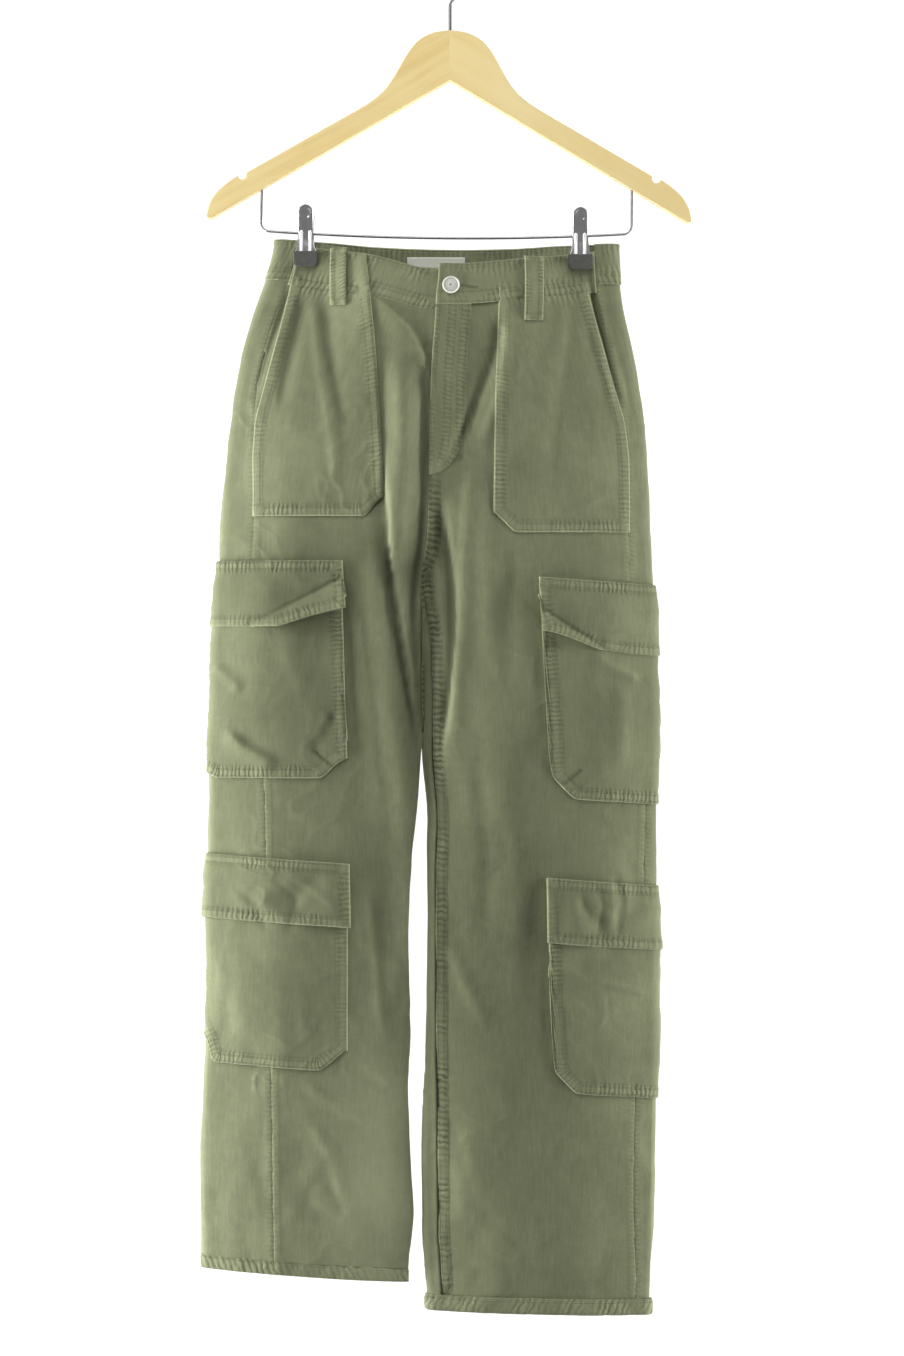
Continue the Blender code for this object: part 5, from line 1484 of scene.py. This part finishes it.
wood, tree, shader = principled("pale_wood", 0.5, Coat_Weight=0.12, Coat_Roughness=0.3)
place = linked("ShaderNodeTexCoord").outputs["Object"]
x, y, z = linked("ShaderNodeSeparateXYZ", Vector=place).outputs
which_arm = maths("GREATER_THAN", x, 0.0)
mirrored = linked("ShaderNodeCombineXYZ", X=maths("ABSOLUTE", x), Y=y, Z=z).outputs[0]
along_arm = stretched(mirrored, (1.0, 1.0, 1.0), (0.0, -ARM_SLOPE, 0.0))
fibres = stretched(along_arm, (0.035, 1.0, 1.0))
figure = stretched(along_arm, (0.14, 1.0, 1.0))


def arm_speckle(coordinates, scale, detail, shift):
    """Noise that isn't the same on the two arms."""
    made = linked(
        "ShaderNodeTexNoise", {"noise_dimensions": "4D"}, Vector=coordinates, W=scaled(which_arm, 7.0, shift),
        Scale=scale, Detail=detail, Roughness=0.55,
    )
    return scaled(made.outputs["Fac"], 1.0, -0.5)


broad = arm_speckle(figure, 34.0, 2.0, 1.0)
rings = maths("SINE", scaled(arm_speckle(figure, 16.0, 1.0, 3.0), 60.0))
fine = arm_speckle(fibres, 900.0, 3.0, 5.0)
pores = arm_speckle(fibres, 2600.0, 1.0, 8.0)
patches = arm_speckle(along_arm, 22.0, 2.0, 12.0)
coloured(
    summed((broad, 0.9, 0.5), (rings, 0.07), (fine, 0.45), (patches, 0.4), (which_arm, 0.1)),
    (0.0, WOOD_DARK), (0.5, WOOD_MIDDLE), (1.0, WOOD_PALE),
)
bumped(summed((fine, 0.07), (pores, 0.04)))
tree.links.new(scaled(fine, 0.15, 0.5), shader.inputs["Roughness"])

half = rounded(WOOD_HUMP) + [np.array(p) for p in WOOD_SLOT] + rounded(WOOD_TIP)
outline = half + [np.array([0.0, WOOD_UNDERSIDE])] + [p * (-1, 1) for p in half[:0:-1]]
bm = bmesh.new()
corners = [bm.verts.new((x * MM, -WOOD_THICKNESS / 2 * MM, -drop * MM)) for x, drop in outline]
rim = [bm.edges.new(pair) for pair in zip(corners, corners[1:] + corners[:1])]
plank = bmesh.ops.edgeloop_fill(bm, edges=rim)["faces"]
pulled_out(bm, bmesh.ops.extrude_face_region(bm, geom=plank)["geom"], (0, WOOD_THICKNESS * MM, 0))
bmesh.ops.recalc_face_normals(bm, faces=bm.faces)
rims = [edge for edge in bm.edges if abs(edge.verts[0].co.y - edge.verts[1].co.y) < 1e-6]
bmesh.ops.bevel(
    bm, geom=rims, affect="EDGES", offset=WOOD_ROUND * MM, segments=5, profile=0.5, material=-1,
    clamp_overlap=True,
)
bm.transform(Matrix.Translation((WOOD_SHIFT * MM, 0.0, 0.0)) @ Matrix.Rotation(WOOD_LEAN, 4, "Y"))
bmesh.ops.translate(bm, verts=bm.verts, vec=(0, 0, WOOD_TOP))
piece = finished("hanger_wood", bm, wood)
level = piece.modifiers.new("level", "WEIGHTED_NORMAL")
level.keep_sharp = True
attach(piece, "root")
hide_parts("hanger_wood")


# --- Hook and trouser bar ---
# Both are bright chromed steel wire. The hook is screwed into the top of the hump. The bar is pushed into
# a hole under each arm and sags a little between its two bent corners.
WIRE_DARK = (0.20, 0.20, 0.21)
WIRE_PALE = (0.42, 0.42, 0.44)
HOOK_RADIUS = 19.5
HOOK_WIRE = 1.5
HOOK_STEM_X = 0.5
HOOK_START, HOOK_TURN = math.radians(-38), math.radians(235)
HOOK_BEND = 16.0
BAR_WIRE = 1.2
BAR_ENDS = (-174.5, 169.5)
BAR_DROP, BAR_SAG = 186.0, 6.6
BAR_LOWEST, BAR_HALF = 20.0, 190.0  # X of the lowest point of the sag, and its reach to either side
BAR_CORNER = 8.0

wire_steel, tree, shader = principled("chromed_wire", 0.3, 1.0)
place = linked("ShaderNodeTexCoord").outputs["Object"]
tarnish = speckle(place, 300.0, 3.0, 0.6)
coloured(scaled(tarnish, 1.0, 0.5), (0.0, WIRE_DARK), (1.0, WIRE_PALE))
tree.links.new(scaled(tarnish, 0.2, 0.3), shader.inputs["Roughness"])


def bar_drop(x):
    """The trouser bar sags between its bent corners."""
    return BAR_DROP + BAR_SAG * (1 - ((x - BAR_LOWEST) / BAR_HALF) ** 2)


def wire(name, places, radius, sides=4):
    """Round wire of one thickness through X, Y and drop places, closed at both ends."""
    data = bpy.data.curves.new(name, "CURVE")
    data.dimensions = "3D"
    data.bevel_depth = radius * MM
    data.bevel_resolution = sides
    data.use_fill_caps = True
    spline = data.splines.new("POLY")
    spline.points.add(len(places) - 1)
    for point, (x, y, drop) in zip(spline.points, places):
        point.co = (x * MM, y * MM, WOOD_TOP - drop * MM, 1.0)
    data.materials.append(wire_steel)
    piece = bpy.data.objects.new(name, data)
    scene.collection.objects.link(piece)
    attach(piece, "root")
    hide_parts(name)


hook_centre = HOOK_RADIUS - ((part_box("hanger_hook")[1].z - WOOD_TOP) / MM - HOOK_WIRE)
round_hook = [
    (HOOK_RADIUS * math.cos(turn), hook_centre - HOOK_RADIUS * math.sin(turn))
    for turn in HOOK_START + HOOK_TURN * np.linspace(0, 1, 65)
]
stem, bend = np.array([HOOK_STEM_X, -22.0]), np.array(round_hook[0])
heading = np.array([-math.sin(HOOK_START), -math.cos(HOOK_START)])
hook = [(HOOK_STEM_X, 16.0), (HOOK_STEM_X, -8.0)]
for t in np.linspace(0, 1, 17):
    first, second = stem + np.array([0.0, -HOOK_BEND]) * t, bend - heading * HOOK_BEND * (1 - t)
    share = t * t * (3 - 2 * t)
    hook.append(first * (1 - share) + second * share)
wire("hanger_hook", [(x, 0.0, drop) for x, drop in hook + round_hook[1:]], HOOK_WIRE)

left, right = BAR_ENDS
quarter = np.linspace(0, math.pi / 2, 9)[:-1]
bar = [(left, 140.0), (left, 150.0), (left - 0.6, 170.0)]
for turn in quarter:
    x = left - 1 + (BAR_CORNER + 1) * (1 - math.cos(turn))
    bar.append((x, bar_drop(left + BAR_CORNER) - BAR_CORNER * (1 - math.sin(turn))))
bar += [(x, bar_drop(x)) for x in np.linspace(left + BAR_CORNER, right - BAR_CORNER, 48)]
for turn in quarter[::-1]:
    x = right - BAR_CORNER * (1 - math.cos(turn))
    bar.append((x, bar_drop(right - BAR_CORNER) - BAR_CORNER * (1 - math.sin(turn))))
bar += [(right, 170.0), (right, 150.0), (right, 140.0)]
wire("hanger_bar", [(x, 0.0, drop) for x, drop in bar], BAR_WIRE)


# --- Clips ---
# Each clip is two pressed steel plates, chromed, with their sides bent back, two stiffening ribs above
# the grip and a dished thumb pad at the top. A coiled spring round the bar holds them shut on the band.
CHROME_DARK = (0.36, 0.365, 0.37)
CHROME_BRIGHT = (0.98, 0.98, 0.99)
PLATE_WALL = 0.8
PLATE_CORNER = 1.1
FACE_COLUMNS, ROW_PITCH = 41, 0.45
PAD_RADIUS, PAD_ABOVE = 7.0, 18.5  # the thumb pad, and its middle above the pivot
DISH_RADIUS, DISH_DEPTH = 5.3, 1.5
RIB_PLACE, RIB_HALF, RIB_HEIGHT, RIB_TOP = 4.1, 1.7, 0.9, 2.4
PIVOT_AWAY = 4.8
SPRING_RADIUS, SPRING_WIRE, SPRING_LENGTH, SPRING_TURNS = 3.4, 0.55, 9.0, 7
BACK_LEAN = {"right": math.radians(2.6), "left": 0.0}

chrome, tree, shader = principled("chrome", 0.13, 1.0)
place = linked("ShaderNodeTexCoord").outputs["Object"]
smear = speckle(place, 220.0, 3.0, 0.6)
scratch = speckle(stretched(place, (1.0, 1.0, 0.06)), 5200.0)
painted_rib_glint = read("rib_glint")  # the raised ribs are painted bright, and made rougher, as the highlights they catch
coloured(summed((smear, 0.3, 0.3), (painted_rib_glint, 0.6)), (0.0, CHROME_DARK), (1.0, CHROME_BRIGHT))
bumped(summed((speckle(place, 160.0, 1.0), 0.03), (scratch, 0.004)))
tree.links.new(summed((smear, 0.08, 0.15), (scratch, 0.05), (painted_rib_glint, 0.32)), shader.inputs["Roughness"])


def plate_rows(pivot):
    """Height above the grip, half width, distance from the middle, and depth of the bent sides."""
    near = PIVOT_AWAY
    return np.array([
        (-2.0, 10.2, 7.6, 1.5), (0.3, 10.2, 7.6, 1.5), (4.0, 8.8, 6.9, 2.0), (pivot - 6.0, 7.7, near + 0.5, 2.4),
        (pivot, 7.3, near, 2.4), (pivot + 6.0, 7.2, near + 0.9, 2.4), (pivot + 13.0, 7.0, near + 3.0, 2.0),
        (pivot + PAD_ABOVE, 7.0, near + 5.4, 1.4), (pivot + PAD_ABOVE + PAD_RADIUS, 7.0, near + 8.5, 1.4),
    ])


def bent_row(half, flange):
    """Across and depth of one row of a plate: the bent side, its corner, the face, and the same again."""
    turn = np.linspace(0, math.pi / 2, 6)[1:-1]
    bent = min(PLATE_CORNER, half)
    side = [half] * 3 + [half - bent + bent * math.cos(a) for a in turn]
    sunk = [flange, flange * 0.6 + bent * 0.4, bent] + [bent * (1 - math.sin(a)) for a in turn]
    face = np.linspace(-(half - bent), half - bent, FACE_COLUMNS)
    return [-x for x in side] + list(face) + side[::-1], sunk + [0.0] * FACE_COLUMNS + sunk[::-1]


def plate(name, x, grip_top, facing, lean=0.0):
    """One plate of a clip, over the top of its grip. Facing is -1 in front and 1 behind."""
    pivot = grip_top - bar_drop(x)
    table = plate_rows(pivot)
    pad = pivot + PAD_ABOVE
    top = pad + PAD_RADIUS * np.sin(np.linspace(0, math.pi / 2, 17))
    heights = np.concatenate([np.arange(-2.0, pad, ROW_PITCH), top])
    columns = len(bent_row(PAD_RADIUS, 0.0)[0])
    bm = bmesh.new()
    rib_glint = bm.verts.layers.float.new("rib_glint")
    bmesh.ops.create_grid(bm, x_segments=columns - 1, y_segments=len(heights) - 1, size=1.0)
    bm.verts.ensure_lookup_table()
    for row, height in enumerate(heights):
        half, away, flange = (np.interp(height, table[:, 0], table[:, k]) for k in (1, 2, 3))
        if height > pad:
            half = math.sqrt(max(PAD_RADIUS**2 - (height - pad) ** 2, 0.0))
        swing = math.tan(lean) * (height - pivot)
        for column, (across, sunk) in enumerate(zip(*bent_row(half, flange))):
            dish = math.hypot(across, height - pad) / DISH_RADIUS
            if dish < 1:
                sunk += DISH_DEPTH * (1 - dish**2)
            above_rib = max(height - (pivot + RIB_TOP - RIB_HALF), 0.0)
            from_rib = math.hypot(abs(across) - RIB_PLACE, above_rib)
            sunk -= RIB_HEIGHT * (1 - float(steps(from_rib, RIB_HALF - 0.9, RIB_HALF)))
            vert = bm.verts[row * columns + column]
            # the ribs carry a painted highlight
            vert[rib_glint] = 1 - float(steps(from_rib, RIB_HALF - 0.5, RIB_HALF + 0.1))
            vert.co = (
                (x + across + swing) * MM, facing * (away - sunk) * MM, WOOD_TOP - (grip_top - height) * MM,
            )
    bmesh.ops.remove_doubles(bm, verts=bm.verts, dist=0.00002)
    bmesh.ops.recalc_face_normals(bm, faces=bm.faces)
    outside = Vector((x * MM, facing * 5.6 * MM, WOOD_TOP - (grip_top - 8) * MM))
    middle = min(bm.faces, key=lambda face: (face.calc_center_median() - outside).length)
    if middle.normal.y * facing < 0:
        bmesh.ops.reverse_faces(bm, faces=bm.faces)
    piece = finished(name, bm, chrome)
    solid = piece.modifiers.new("thickness", "SOLIDIFY")
    solid.thickness = PLATE_WALL * MM
    solid.offset = -1.0
    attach(piece, "root")
    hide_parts(name)


# The grips are black rubber, moulded round the ends of the plates.
RUBBER_DARK = (0.052, 0.054, 0.048)
RUBBER_BLOOM = (0.12, 0.124, 0.112)
GRIP_LOW_ROUND, GRIP_TOP_ROUND, GRIP_RIM_ROUND = 3.4, 1.2, 1.1
GATE_PLACE, GATE_RADII, GATE_DEPTH = (2.6, -1.6), (1.1, 0.8), 0.5  # the mark where the rubber was let in
rubber, tree, shader = principled("black_rubber", 0.6, Specular_IOR_Level=0.4)
place = linked("ShaderNodeTexCoord").outputs["Object"]
bloom = summed((speckle(place, 120.0, 4.0, 0.6), 1.0, 0.5), (speckle(place, 1800.0), 0.5))
coloured(bloom, (0.0, RUBBER_DARK), (1.0, RUBBER_BLOOM))
bumped(scaled(speckle(place, 1400.0, 3.0), 0.12))


def grip(name):
    low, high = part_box(name)
    size, middle = high - low, (low + high) / 2
    bm = bmesh.new()
    bmesh.ops.create_cube(bm, size=1.0)
    bmesh.ops.scale(bm, vec=size, verts=bm.verts)
    upright = [e for e in bm.edges if abs(e.verts[0].co.y - e.verts[1].co.y) > 1e-6]
    lower, upper = ([e for e in upright if e.verts[0].co.z * sign > 0] for sign in (-1, 1))
    for edges, round_off in ((lower, GRIP_LOW_ROUND), (upper, GRIP_TOP_ROUND)):
        bmesh.ops.bevel(
            bm, geom=edges, affect="EDGES", offset=round_off * MM, segments=5, profile=0.5, material=-1,
        )
    rims = [e for e in bm.edges if len(e.link_faces) == 2 and e.calc_face_angle() > 1.2]
    bmesh.ops.bevel(
        bm, geom=rims, affect="EDGES", offset=GRIP_RIM_ROUND * MM, segments=4, profile=0.5, material=-1,
    )
    gate = (GATE_PLACE[0] * MM, math.copysign(size.y / 2 + 0.1 * MM, middle.y), GATE_PLACE[1] * MM)
    bmesh.ops.create_cone(
        bm, cap_ends=True, segments=20, radius1=GATE_RADII[0] * MM, radius2=GATE_RADII[1] * MM,
        depth=GATE_DEPTH * MM,
        matrix=Matrix.Translation(gate) @ Matrix.Rotation(math.copysign(math.pi / 2, -middle.y), 4, "X"),
    )
    bmesh.ops.translate(bm, verts=bm.verts, vec=middle)
    piece = finished(name, bm, rubber)
    level = piece.modifiers.new("level", "WEIGHTED_NORMAL")
    level.keep_sharp = True
    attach(piece, "root")
    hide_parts(name)


for side, lean in BACK_LEAN.items():
    for face in ("front", "back"):
        grip(f"clip_{side}_tip_{face}")
    low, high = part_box(f"clip_{side}_tip_front")
    x, grip_top = (low.x + high.x) / 2 / MM, (WOOD_TOP - high.z) / MM
    plate(f"clip_{side}_front", x, grip_top, -1)
    plate(f"clip_{side}_back", x, grip_top, 1, lean)
    coil = []
    for turn in np.linspace(0, 2 * math.pi * SPRING_TURNS, SPRING_TURNS * 16 + 1):
        px = x + SPRING_LENGTH * (turn / (2 * math.pi * SPRING_TURNS) - 0.5)
        coil.append((px, SPRING_RADIUS * math.cos(turn), bar_drop(px) - SPRING_RADIUS * math.sin(turn)))
    # the start of the wire runs up and presses the handles apart
    start, end = coil[0], coil[-1]
    coil = [(start[0], start[1] + 0.6, start[2] - 8.0), (start[0], start[1] + 0.2, start[2] - 4.0), *coil]
    coil.append((end[0], end[1], end[2] + 0.2))
    wire(f"clip_{side}_spring", coil, SPRING_WIRE, 2)


low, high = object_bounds()
